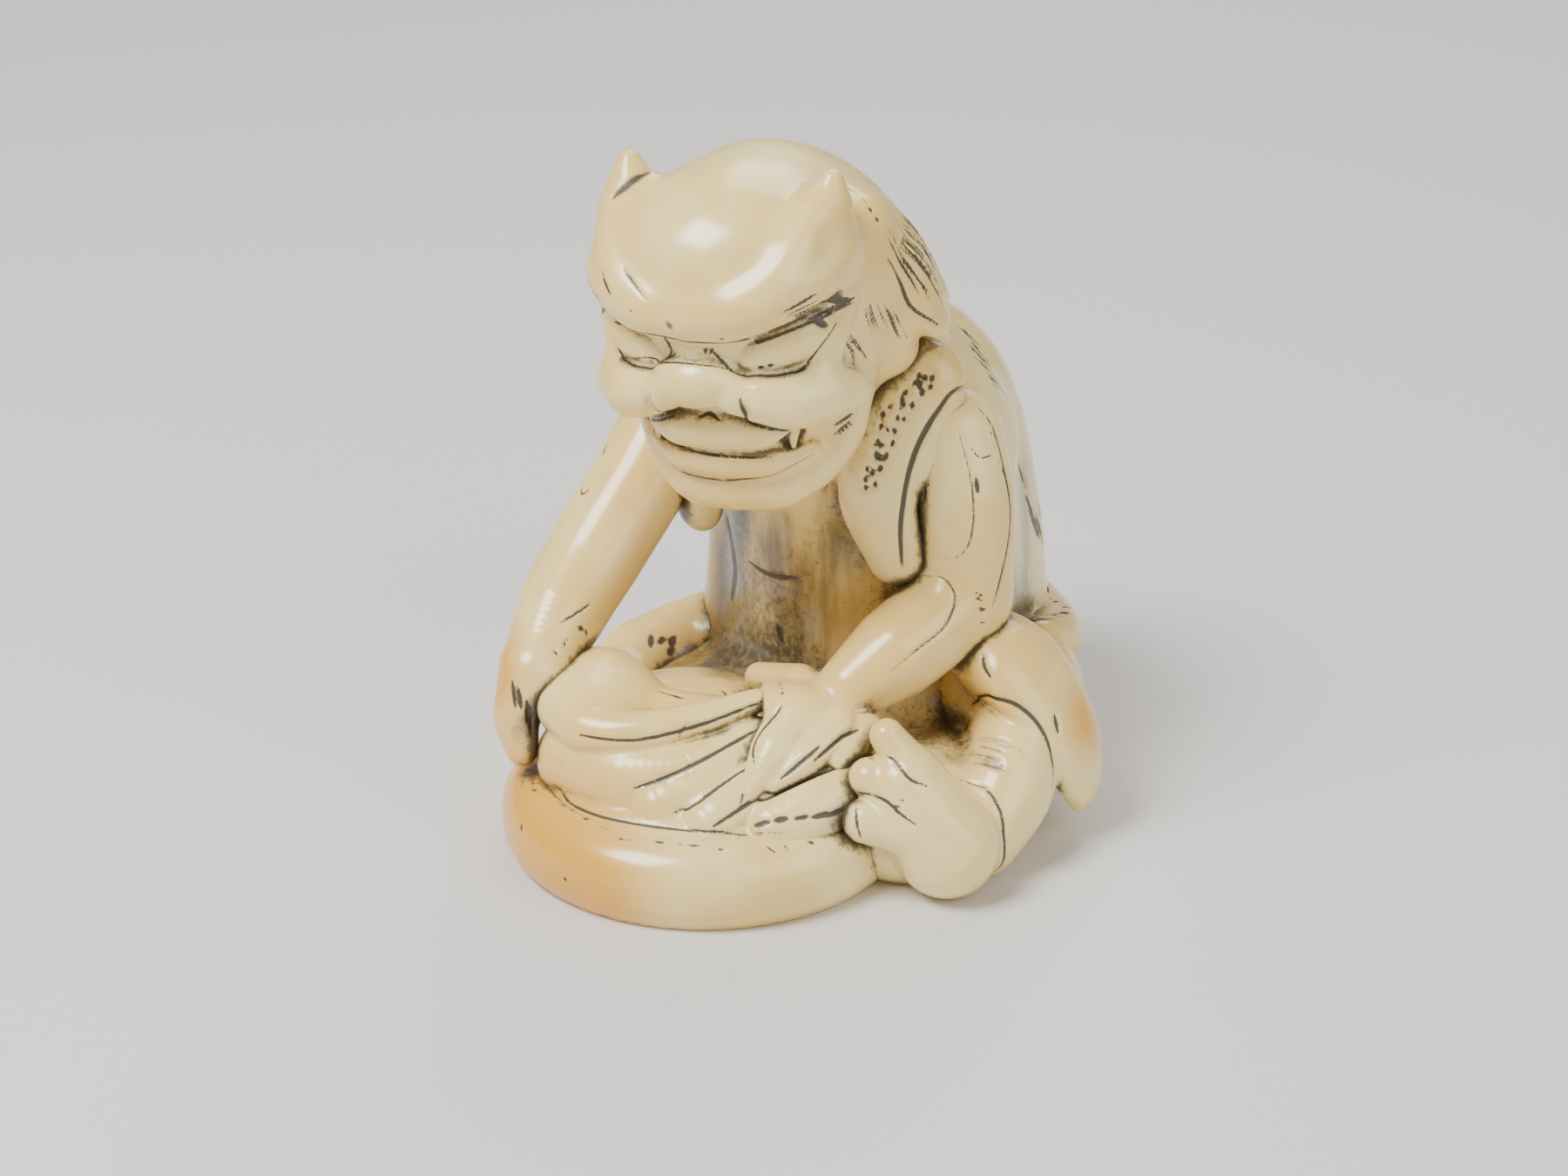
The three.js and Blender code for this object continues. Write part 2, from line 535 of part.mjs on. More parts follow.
function boxBelow(z) {
  const box = new THREE.BoxGeometry(80, 80, 20);
  box.translate(0, 0, z - 10);
  box.deleteAttribute('normal');
  box.deleteAttribute('uv');
  const merged = mergeVertices(box);
  return solidOf(merged.attributes.position.array, merged.index.array);
}

const ground = solidOf(facets.positions, facets.triangles).subtract(boxBelow(0));
const whole = ground.decompose().reduce((m, s) => (s.volume() > m.volume() ? s : m));
const { vertProperties, triVerts } = whole.getMesh();

const geometry = new THREE.BufferGeometry()
  .setAttribute('position', new THREE.BufferAttribute(vertProperties, 3))
  .setIndex(Array.from(triVerts));
geometry.computeVertexNormals();
geometry.computeBoundingBox();
const middle = geometry.boundingBox.getCenter(new THREE.Vector3());

const group = new THREE.Group();
const mesh = new THREE.Mesh(geometry, new THREE.MeshStandardMaterial({ color: 0xeedfb4, roughness: 0.35 }));
mesh.name = 'carving';
mesh.position.set(-middle.x, -middle.y, 0);
group.add(mesh);
export default group;
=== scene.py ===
"""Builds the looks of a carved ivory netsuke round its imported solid: a demon that kneels over a covered tray.

Every carved piece is the zero surface of a signed distance field. Its forms are given in millimetres,
+Z up, with the demon facing -Y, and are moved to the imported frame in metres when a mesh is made.
"""

import math

import bpy
import numpy as np
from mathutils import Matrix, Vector


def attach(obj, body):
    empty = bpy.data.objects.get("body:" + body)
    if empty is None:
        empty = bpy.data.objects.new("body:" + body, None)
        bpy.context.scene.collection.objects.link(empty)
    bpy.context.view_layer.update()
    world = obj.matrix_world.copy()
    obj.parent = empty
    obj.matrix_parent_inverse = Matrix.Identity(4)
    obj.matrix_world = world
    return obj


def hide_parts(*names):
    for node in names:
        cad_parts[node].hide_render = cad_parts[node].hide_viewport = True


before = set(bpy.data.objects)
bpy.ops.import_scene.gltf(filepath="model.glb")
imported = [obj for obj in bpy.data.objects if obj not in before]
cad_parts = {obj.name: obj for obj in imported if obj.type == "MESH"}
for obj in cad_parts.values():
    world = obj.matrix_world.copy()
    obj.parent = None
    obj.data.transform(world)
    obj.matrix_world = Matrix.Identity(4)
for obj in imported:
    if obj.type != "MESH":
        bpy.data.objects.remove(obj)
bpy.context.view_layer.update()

bl_info = {
    "name": "Carved netsuke",
    "version": (1, 0, 0),
    "blender": (4, 5, 0),
    "location": "View3D > Sidebar > Netsuke",
    "description": "Carves the ivory demon, its tray and cloth, and sets the stage",
    "category": "Object",
}

MM = 0.001
MIDDLE = np.array([0.955, -0.232, 0.0])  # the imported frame's origin in the carver's millimetres
FAR = 9.0  # distance given where no form is near
SEAM = 0.25  # blend between one part and the next
HEAD_AT = (0.1, -4.1, 26.8)
HEAD_TURN = (10, -4, 13)


# ---------------------------------------------------------------- forms
def axes_of(turn):
    """The axes of a turned frame as columns: the turns about X, Y and Z, taken in that order."""
    (sx, sy, sz), (cx, cy, cz) = np.sin(np.radians(turn)), np.cos(np.radians(turn))
    about_x = np.array([[1, 0, 0], [0, cx, -sx], [0, sx, cx]])
    about_y = np.array([[cy, 0, sy], [0, 1, 0], [-sy, 0, cy]])
    about_z = np.array([[cz, -sz, 0], [sz, cz, 0], [0, 0, 1]])
    return about_z @ about_y @ about_x


class Form:
    """A rounded form: the ball that holds it, and its signed distance at an array of points."""

    def __init__(self, at, reach, away):
        self.at, self.reach, self.away = np.asarray(at, float), float(reach), away


def scaled_distance(size, slope, core):
    """size * (size - 1) / slope, which is nearly the distance close to the skin, and -core in the middle."""
    return np.where(slope > 1e-9, size * (size - 1) / np.maximum(slope, 1e-9), -core)


def ball(at, radii, turn=(0, 0, 0)):
    """An ellipsoid: a point's size is its length once divided by the radii, which is 1 on the skin."""
    at, radii, axes = np.array(at, float), np.array(radii, float), axes_of(turn)

    def away(p):
        q = (p - at) @ axes / radii
        return scaled_distance(np.linalg.norm(q, axis=1), np.linalg.norm(q / radii, axis=1), radii.min())

    return Form(at, radii.max(), away)


def limb(points, radii, along=(0, 0, 1), by=1.0):
    """A round bar through points: the least, over its stretches, of the distance to the stretch less the
    radius there. With by under 1 its section is an ellipse, thinned along a direction."""
    points, radii = np.array(points, float), np.array(radii, float)
    at = points.mean(axis=0)
    thin = np.array(along, float) / np.linalg.norm(along)

    def away(p):
        best = np.full(len(p), np.inf)
        for a, bar, r0, dr in zip(points, np.diff(points, axis=0), radii, np.diff(radii)):
            q = p - a
            t = np.clip(q @ bar / (bar @ bar), 0, 1)
            q -= t[:, None] * bar
            r = r0 + dr * t
            square = (q * q).sum(axis=1)
            if by == 1.0:
                d = np.sqrt(square) - r
            else:
                height = (q @ thin) ** 2
                wide = np.maximum(0, square - height)
                size = np.sqrt(wide / r**2 + height / (r * by) ** 2)
                d = scaled_distance(size, np.sqrt(wide / r**4 + height / (r * by) ** 4), r * by)
            np.minimum(best, d, out=best)
        return best

    return Form(at, (np.linalg.norm(points - at, axis=1) + radii).max(), away)


def smooth(points, pieces):
    """A curve through the points: between two of them it is the cubic whose slopes are the centripetal
    Catmull-Rom ones, with an extra point mirrored past each end."""
    p = np.array(points, float)
    p = np.vstack([2 * p[0] - p[1], p, 2 * p[-1] - p[-2]])
    dt = np.maximum(np.linalg.norm(np.diff(p, axis=0), axis=1), 1e-8) ** 0.5
    t = np.arange(pieces)[:, None] / pieces
    route = []
    for i in range(len(p) - 3):
        x0, x1, x2, x3 = p[i : i + 4]
        d0, d1, d2 = dt[i : i + 3]
        out = ((x1 - x0) / d0 - (x2 - x0) / (d0 + d1) + (x2 - x1) / d1) * d1
        back = ((x2 - x1) / d1 - (x3 - x1) / (d1 + d2) + (x3 - x2) / d2) * d1
        square, cube = 3 * (x2 - x1) - 2 * out - back, 2 * (x1 - x2) + out + back
        route.append(x1 + out * t + square * t**2 + cube * t**3)
    return np.vstack(route + [p[-2:-1]])


def bent(points, radii, along=(0, 0, 1), by=1.0, pieces=8):
    """A bar along the smooth curve through a few points."""
    spans = np.arange(len(points))
    steps = np.linspace(0, len(points) - 1, pieces * (len(points) - 1) + 1)
    return limb(smooth(points, pieces), np.interp(steps, spans, radii), along, by)


def disc(at, radius, low, high, edge):
    """An upright round plate: the distance to a box in radius and height, less the rounding of its edge."""

    def away(p):
        r = np.hypot(p[:, 0] - at[0], p[:, 1] - at[1]) - (radius - edge)
        h = np.abs(p[:, 2] - (low + high) / 2) - ((high - low) / 2 - edge)
        return np.minimum(np.maximum(r, h), 0) + np.hypot(np.maximum(r, 0), np.maximum(h, 0)) - edge

    return Form((at[0], at[1], (low + high) / 2), math.hypot(radius, (high - low) / 2), away)


def add(blend, form):
    """A step that joins a form on, rounded over the blend."""
    return blend, form, 1, False


def cut(blend, form):
    """A step that takes a form away, rounded over the blend."""
    return blend, form, -1, False


def both(step):
    """The step on both sides of the part's middle plane."""
    return step[0], step[1], step[2], True


def soft_min(a, b, blend):
    """The lesser of a and b, with the corner between them rounded off over the blend."""
    h = np.maximum(blend - np.abs(a - b), 0)
    return np.minimum(a, b) - h * h / (4 * blend)


class Part:
    """Forms added to and cut from each other in order, in a frame of their own."""

    def __init__(self, steps, at=(0, 0, 0), turn=(0, 0, 0)):
        self.steps, self.at, self.axes = steps, np.array(at, float), axes_of(turn)

    def local(self, p):
        """Points of the carver's frame in the part's own frame."""
        return (p - self.at) @ self.axes

    def world(self, q):
        """Points of the part's own frame in the carver's frame."""
        return np.asarray(q, float) @ self.axes.T + self.at

    def away(self, p):
        """The distance after every step, each worked out only near its form."""
        q = self.local(p)
        folded = np.column_stack([np.abs(q[:, 0]), q[:, 1:]])
        d = np.full(len(p), FAR)
        for blend, form, sign, paired in self.steps:
            side = folded if paired else q
            near = ((side - form.at) ** 2).sum(axis=1) < (form.reach + max(blend, 1.5)) ** 2
            if near.any():
                e = form.away(side[near])
                d[near] = sign * soft_min(sign * d[near], e, blend)
        return d


# ---------------------------------------------------------------- the sculpt
LOCKS = (14, 38, 62, 86)


def lock(turn):
    """A lock of hair from the crown to the nape, at a turn from the side to the back."""
    c, s = math.cos(math.radians(turn)), math.sin(math.radians(turn))
    path = [(5.0, 4.6), (6.9, 2.2), (7.4 + 0.7 * s, -0.2 - 0.5 * s)]
    return bent([(out * c, 1.4 + out * s, z) for out, z in path], (1.3, 2.0, 2.1), (c, s, 0.7), 0.42)


def head():
    return Part([
        # skull, forehead and face
        add(0.1, ball((0.25, 1.2, 1.1), (6.3, 7.3, 6.9))),
        add(1.5, ball((0.1, -2.0, 3.8), (6.0, 4.9, 4.5))),
        add(1.5, ball((0, -0.2, -1.6), (5.5, 5.4, 5.2))),
        add(1.2, ball((0, -2.4, -3.4), (4.3, 3.3, 3.2))),
        both(add(1.0, ball((4.9, 1.4, 2.8), (2.4, 3.6, 3.2)))),
        both(add(1.0, ball((4.0, 0.8, -1.0), (2.4, 3.4, 3.8)))),
        # brow, and the ridge that climbs from it to each horn
        both(add(0.8, bent([(0, -6.4, 3.4), (2.5, -6.1, 3.6), (4.2, -5.1, 4.0), (5.3, -3.7, 4.3),
                        (5.6, -2.0, 4.5)],
                    (1.2, 1.15, 1.1, 1.0, 0.8)))),
        both(add(1.3, bent([(2.3, -6.2, 3.8), (4.0, -5.3, 4.9), (4.8, -3.8, 6.0), (5.0, -2.4, 6.7)],
                    (0.6, 0.6, 0.6, 0.7)))),
        # band of the eyes under the brow, bridge and eyes
        both(cut(0.12, bent([(0, -7.6, 1.5), (2.2, -7.2, 1.55), (4.2, -6.0, 1.85), (5.8, -4.3, 2.4),
                        (6.7, -3.0, 2.7)],
                    (0.75, 0.95, 1.05, 0.85, 0.3)))),
        add(0.06, ball((-0.1, -5.9, 1.85), (1.6, 0.9, 0.6))),
        both(add(0.06, ball((3.6, -4.5, 1.55), (2.6, 1.5, 1.35), (0, -15, 33)))),
        # cheek rolls, cheek bones
        both(add(0.4, bent([(2.7, -6.1, -0.8), (4.0, -5.4, -1.2), (5.1, -4.2, -1.4), (6.0, -3.1, -1.8),
                        (6.6, -2.4, -2.1)],
                    (1.2, 1.45, 1.35, 0.95, 0.3)))),
        both(cut(0.2, bent([(2.4, -6.6, -2.4), (4.2, -5.6, -3.1), (5.8, -3.8, -3.2)], (0.3, 0.45, 0.2)))),
        both(add(0.7, bent([(4.9, -4.0, -0.2), (5.4, -3.2, 1.1), (5.7, -2.4, 2.6)], (0.9, 0.8, 0.75)))),
        # nose
        add(0.4, ball((-0.2, -6.5, 0.15), (2.1, 1.5, 1.35))),
        both(add(0.4, ball((1.75, -6.5, -0.5), (0.95, 1.05, 0.95)))),
        both(cut(0.12, limb([(2.5, -7.6, 0.1), (2.45, -7.2, -1.6)], (0.12, 0.3)))),
        both(cut(0.15, ball((0.9, -7.1, -1.5), (0.4, 0.5, 0.35)))),
        # lips
        both(add(0.2, bent([(0, -5.6, -2.9), (1.8, -5.4, -2.95), (2.8, -4.9, -3.0)], (1.1, 1.05, 0.85)))),
        both(add(0.2, bent([(0, -5.4, -4.8), (2.2, -5.1, -4.8), (3.9, -4.0, -4.6)], (0.85, 0.75, 0.4)))),
        both(cut(0.12, ball((3.5, -4.9, -3.7), (0.75, 0.9, 0.6)))),
        both(add(0.1, limb([(3.5, -4.6, -3.0), (3.45, -4.85, -4.1)], (0.4, 0.12)))),
        # chin and jaw
        both(add(0.7, bent([(0, -4.4, -6.7), (2.1, -4.1, -6.6), (3.6, -3.0, -5.9), (4.6, -1.8, -4.7),
                        (5.1, -1.2, -3.0)],
                    (1.3, 1.3, 1.25, 1.2, 1.1)))),
        # horns
        add(0.9, bent([(4.8, -1.7, 5.0), (5.2, -1.2, 6.6), (5.45, -0.8, 7.8)], (1.7, 1.2, 0.55))),
        add(0.9, bent([(-4.5, -1.5, 5.2), (-4.7, -1.0, 7.0), (-4.75, -0.7, 8.3)], (1.8, 1.25, 0.55))),
        # hair that falls to the nape in broad locks
        add(0.8, ball((0, 4.4, 0.2), (6.6, 5.4, 6.2))),
        *[both(add(0.25, lock(turn))) for turn in LOCKS],
        both(add(0.7, bent([(6.0, 0.8, 2.2), (6.1, 1.5, 0), (5.7, 2.2, -2.2)], (1.3, 1.65, 1.7)))),
    ], HEAD_AT, HEAD_TURN)


def torso():
    return Part([
        add(0.1, bent([(0, 8.6, 4), (0, 8.0, 11), (0, 6.6, 17.5), (0, 3.2, 21.2)], (8.6, 8.3, 7.7, 5.8))),
        both(add(2.0, ball((5.4, 3.6, 19.6), (4.0, 4.2, 3.8)))),
        both(add(0.6, ball((3.9, 4.2, 24.4), (1.7, 1.7, 1.5)))),
        add(1.5, ball((0, 8.4, 4.4), (10.4, 7.8, 5.2))),
        add(1.5, ball((0, 2.0, 2.4), (10.6, 8.4, 3.4))),
        both(add(1.5, bent([(6.0, 5.4, 18.2), (6.6, 5.6, 12), (7.0, 5.6, 7)], (2.6, 2.4, 2.4)))),
        # waist roll of the loincloth
        add(0.6, bent([(-9.6, 9.4, 6.8), (-6.0, 13.4, 6.2), (0, 15.2, 6.0), (6.0, 13.4, 6.6),
                    (9.6, 9.4, 7.4), (10.4, 6.6, 8.4)],
                    (0.8, 1.5, 1.4, 1.5, 1.5, 1.2))),
        # vest fronts
        both(add(0.6, bent([(6.1, 1.4, 23.0), (5.4, 0.1, 20.8), (5.3, -0.8, 17.6), (6.0, -0.2, 14.4)],
                    (2.4, 2.2, 2.0, 1.5),
                    (0.3, -1, 0.1), 0.65))),
    ])


def left_arm():
    return Part([
        add(0.1, bent([(7.3, 2.8, 20.2), (8.3, 2.4, 16.6), (8.6, 2.2, 12.4)], (2.5, 2.55, 2.3))),
        add(1.0, bent([(8.5, 1.6, 11.8), (7.3, -2.0, 10.2), (6.2, -4.2, 8.9)], (2.4, 2.3, 1.7))),
        # hand: palm, thumb and fingers
        add(1.0, ball((4.7, -5.9, 8.0), (2.6, 2.4, 1.15), (-14, 8, 0))),
        add(0.6, limb([(3.4, -4.8, 8.5), (1.0, -4.8, 8.2)], (1.0, 0.75))),
        add(0.6, bent([(4.8, -6.8, 7.9), (5.0, -9.2, 7.0), (4.95, -11.2, 5.6)], (1.5, 1.2, 0.5))),
        add(0.2, bent([(6.8, -6.4, 7.7), (6.5, -8.8, 6.8), (5.8, -10.4, 5.9)], (1.1, 0.85, 0.4))),
        add(0.2, limb([(7.8, -5.6, 7.4), (7.7, -7.6, 6.6)], (1.0, 0.6))),
    ])


def right_arm():
    return Part([
        add(0.1, bent([(-8.2, 2.2, 19.8), (-8.4, -2.0, 15.8), (-8.9, -5.4, 12.6), (-8.7, -8.4, 10.6),
                    (-8.0, -11.2, 8.8)],
                    (2.7, 2.5, 2.5, 2.3, 1.8))),
        # hand hooked under the cloth
        add(0.8, bent([(-7.9, -11.6, 8.5), (-8.0, -12.9, 6.8), (-7.2, -13.6, 5.4)], (1.65, 1.2, 0.8))),
    ])


def left_leg():
    return Part([
        add(0.1, bent([(5, 8, 5), (9.5, 5.4, 5.6), (12.0, 2.8, 5.4)], (4.4, 3.8, 2.8))),
        add(0.8, ball((9.0, -2.4, 2.4), (4.6, 5.6, 3.4))),
        add(0.6, bent([(12.4, 1.2, 5.2), (12.9, -0.8, 3.6), (12.7, -2.8, 2.1)], (2.4, 2.4, 2.2))),
        # flap of the loincloth over the knee
        add(0.2, bent([(9.2, 3.0, 9.0), (12.0, 2.6, 8.4), (13.9, 3.0, 6.0), (14.6, 3.3, 3.6),
                    (14.7, 3.4, 2.1)], (2.6, 2.9, 2.5, 1.7, 0.8),
                    (0.85, 0, 0.55), 0.5)),
        # foot and toes
        add(0.3, bent([(12.6, -5.5, 2.6), (11.6, -6.2, 4.4), (10.8, -6.5, 5.8)], (2.6, 2.3, 2.0))),
        add(0.3, limb([(10.9, -6.3, 6.6), (9.9, -6.8, 8.3)], (1.2, 0.85))),
        add(0.3, limb([(10.6, -7.1, 5.6), (9.5, -7.7, 6.3)], (1.2, 1.0))),
        add(0.3, limb([(11.2, -7.4, 4.1), (9.8, -8.5, 4.4)], (1.4, 1.1))),
    ])


def right_leg():
    return Part([
        add(0.1, bent([(-5, 7, 4), (-9.4, 4.6, 3.4), (-11.2, 1.8, 3.0)], (4.0, 3.0, 2.6))),
        add(0.6, bent([(-11.2, 1.4, 2.8), (-10.4, -2.0, 2.4), (-9.0, -4.4, 2.2)], (2.5, 2.3, 2.0))),
    ])


def tray():
    return Part([
        add(0.1, disc((-0.4, -7.4), 10.3, -0.6, 4.2, 2.2)),
        cut(0.3, disc((-0.4, -7.4), 8.1, 2.6, 9, 0.8)),
    ])


def cloth():
    return Part([
        add(0.1, ball((-0.4, -7.4, 3.2), (8.7, 8.7, 2.3))),
        add(0.8, ball((-1.6, -5.0, 4.4), (6.6, 4.4, 2.8))),
        add(0.4, ball((2.5, -8.4, 6.7), (1.7, 1.4, 1.2))),
        # folds that fan out from under the left hand
        add(0.3, bent([(-4.4, -11.8, 5.0), (-1.4, -12.0, 4.8), (1.6, -10.6, 5.4), (3.6, -7.6, 6.9)],
                (2.6, 2.6, 2.0, 0.9))),
        add(0.1, bent([(0.8, -12.6, 4.1), (2.4, -11.0, 5.2), (3.8, -8.4, 6.7)], (2.0, 1.5, 0.7))),
        add(0.1, bent([(3.4, -12.0, 3.7), (4.2, -10.6, 4.9), (4.4, -8.6, 6.3)], (2.0, 1.5, 0.7))),
        add(0.1, bent([(6.0, -10.4, 3.6), (7.4, -8.6, 4.7), (8.0, -6.4, 5.4)], (2.0, 1.7, 1.3))),
        # upper layer, with a rolled edge, between the hands
        add(0.4, ball((-4.4, -10.8, 7.7), (2.9, 2.9, 1.7), (0, 10, 0))),
        add(0.6, bent([(-5.0, -9.4, 8.6), (-2.2, -9.4, 7.5), (0.8, -8.2, 7.5)], (1.8, 1.6, 1.2),
                (0.2, 0, 1), 0.6)),
        add(0.2, bent([(-5.5, -12.2, 7.6), (-3.4, -12.9, 7.3), (-1.0, -12.1, 7.5), (1.0, -10.2, 8.0),
                    (2.8, -7.6, 8.5)], (1.4, 1.3, 1.1, 0.85, 0.6))),
    ])


SCULPT = (head, torso, left_arm, right_arm, left_leg, right_leg, tray, cloth)
PARTS = {make.__name__: make() for make in SCULPT}


def whole(p):
    """The distance to the whole carving: the soft least of the parts' distances."""
    d = np.full(len(p), FAR)
    for part in PARTS.values():
        d = soft_min(d, part.away(p), SEAM)
    return d


# ---------------------------------------------------------------- skin
CORNERS = np.array([(c & 1, c >> 1 & 1, c >> 2) for c in range(8)])
EDGES = [(c, c | bit) for c in range(8) for bit in (1, 2, 4) if not c & bit]


def in_chunks(away, p, size=300_000):
    """A distance at many points, taken in turns to spare memory."""
    return np.concatenate([away(p[i : i + size]) for i in range(0, len(p), size)])


def grown(mask):
    """The mask, with every node whose neighbour is in it, corner to corner."""
    padded = np.pad(mask, 1)
    shifts = [[slice(1 + d, padded.shape[i] - 1 + d) for d in (-1, 0, 1)] for i in range(3)]
    return np.any([padded[x, y, z] for x in shifts[0] for y in shifts[1] for z in shifts[2]], axis=0)


def skin(away, low, high, cell):
    """The zero surface as a net of quads. The distance is taken on a rough grid, and again on the fine grid
    only near the surface. Each fine cell that the surface crosses gets one vertex, the mean of the crossings
    on its edges, and each crossed grid edge gets the quad of the four cells round it."""
    coarse = max(1, int(0.5 / cell))
    step = cell * coarse
    low = np.array(low, float)
    cells = np.ceil((np.array(high) - low) / step).astype(int)
    axes = [low[i] + step * np.arange(cells[i] + 1) for i in range(3)]
    nodes = np.stack(np.meshgrid(*axes, indexing="ij"), axis=-1).reshape(-1, 3)
    rough = in_chunks(away, nodes).reshape(cells + 1)
    near = grown(np.abs(rough) < 1.3 * step)
    pick = np.ix_(*[np.rint(np.arange(n * coarse + 1) / coarse).astype(int) for n in cells])
    value, fine = rough[pick], near[pick]
    at = np.argwhere(fine)
    value[fine] = in_chunks(away, low + at * cell)
    n = np.array(value.shape)
    inside = value < 0
    corner = [tuple(slice(c[i], n[i] - 1 + c[i]) for i in range(3)) for c in CORNERS]
    count = sum(inside[s].astype(np.int8) for s in corner)
    active = np.argwhere((count > 0) & (count < 8))
    number = np.full(n - 1, -1, np.int32)
    number[tuple(active.T)] = np.arange(len(active))
    v = [value[tuple((active + c).T)] for c in CORNERS]
    total, hits = np.zeros((len(active), 3)), np.zeros(len(active))
    for c, d in EDGES:
        crossed = (v[c] < 0) != (v[d] < 0)
        t = v[c][crossed] / (v[c][crossed] - v[d][crossed])
        total[crossed] += CORNERS[c] + t[:, None] * (CORNERS[d] - CORNERS[c])
        hits[crossed] += 1
    points = low + (active + total / hits[:, None]) * cell
    quads = []
    for q in range(3):
        e, f = (q + 1) % 3, (q + 2) % 3
        unit = np.eye(3, dtype=int)
        inner = tuple(slice(1, n[i] - 1) for i in range(3))
        there = tuple(slice(1 + unit[q][i], n[i] - 1 + unit[q][i]) for i in range(3))
        edge = np.argwhere(inside[inner] != inside[there]) + 1
        ring = [edge, edge - unit[e], edge - unit[e] - unit[f], edge - unit[f]]
        quad = np.column_stack([number[tuple(r.T)] for r in ring])
        outward = inside[tuple(edge.T)]
        quad[~outward] = quad[~outward][:, ::-1]
        quads.append(quad)
    return points, np.vstack(quads)


def slope(away, p, h=0.03):
    """The gradient of a distance, from differences over a small step each way."""
    sides = [in_chunks(away, p + h * s * u) for u in np.eye(3) for s in (1, -1)]
    return np.column_stack([(sides[2 * i] - sides[2 * i + 1]) / (2 * h) for i in range(3)])


def settle(away, p, most, rounds=1):
    """Moves points along the gradient onto the zero of a distance, and returns them and their normals."""
    for _ in range(rounds):
        g = slope(away, p)
        square = np.maximum((g * g).sum(axis=1), 0.5)
        p = p - (np.clip(in_chunks(away, p), -most, most) / square)[:, None] * g
    return p, g / np.maximum(np.linalg.norm(g, axis=1), 1e-6)[:, None]


def smoothstep(x, low, high):
    """0 under low, 1 over high, and 3t^2 - 2t^3 between."""
    t = np.clip((x - low) / (high - low), 0, 1)
    return t * t * (3 - 2 * t)


def recess(p, normals):
    """How far the carving shuts in the space above a point, which paints shade into the hollows: the shortfall
    of the whole's distance at three heights along the normal, each as a share of its height."""
    hollow_shade = np.zeros(len(p))
    for height, weight in ((0.35, 0.25), (0.9, 0.3), (2.0, 0.25)):
        d = in_chunks(whole, p + height * normals)
        hollow_shade += weight * np.clip(1 - d / height, 0, 1)
    return hollow_shade


# ---------------------------------------------------------------- cuts
def stroke(points, width=0.11, depth=0.07, dark=1.0):
    """A cut near the skin: its smooth route, half its width, its depth and how far its stain goes."""
    return smooth(points, 5), width, depth, dark


def between(line, share):
    """The point at a share of the way along a few points, each stretch counting alike."""
    line = np.array(line, float)
    at = share * (len(line) - 1)
    return np.array([np.interp(at, np.arange(len(line)), line[:, i]) for i in range(3)])


def hatch(count, roots, tips, width=0.09, depth=0.05, dark=1.0, wander=0.3, seed=1):
    """A row of strokes from one line to another, each moved along, cut short and darkened at random."""
    rng = np.random.default_rng(seed)
    strokes = []
    for i in range(count):
        share = np.clip((i + 0.5 + wander * rng.normal()) / count, 0, 1)
        root = between(roots, share)
        tip = between(tips, np.clip(share + 0.3 * wander * rng.normal() / count, 0, 1))
        start, end = wander * rng.random() * 0.6, 1 - wander * rng.random()
        a, b = root + start * (tip - root), root + end * (tip - root)
        broad = width * rng.uniform(0.7, 1.15)
        strokes.append(stroke([a, (a + b) / 2, b], broad, depth, dark * rng.uniform(0.65, 1.0)))
    return strokes


def punches(rows, columns, left, right, size=0.2, seed=1):
    """Rows of small punched wedges, from a line down the left to a line down the right."""
    rng = np.random.default_rng(seed)
    strokes = []
    for i in range(rows):
        for j in range(columns):
            down, over = (i + 0.5 + 0.25 * rng.normal()) / rows, (j + 0.5 + 0.3 * rng.normal()) / columns
            a = between(left, np.clip(down, 0, 1))
            middle = a + over * (between(right, np.clip(down, 0, 1)) - a)
            lean = np.array([0.5 * size, 0, size]) * rng.uniform(0.5, 1.0)
            if rng.random() < 0.85:
                strokes.append(stroke([middle - lean, middle + lean], size * rng.uniform(0.7, 1.0), 0.16))
    return strokes


def both_sides(strokes):
    """The strokes and their mirror images across the head's middle plane."""
    return strokes + [(route * (-1, 1, 1), *rest) for route, *rest in strokes]


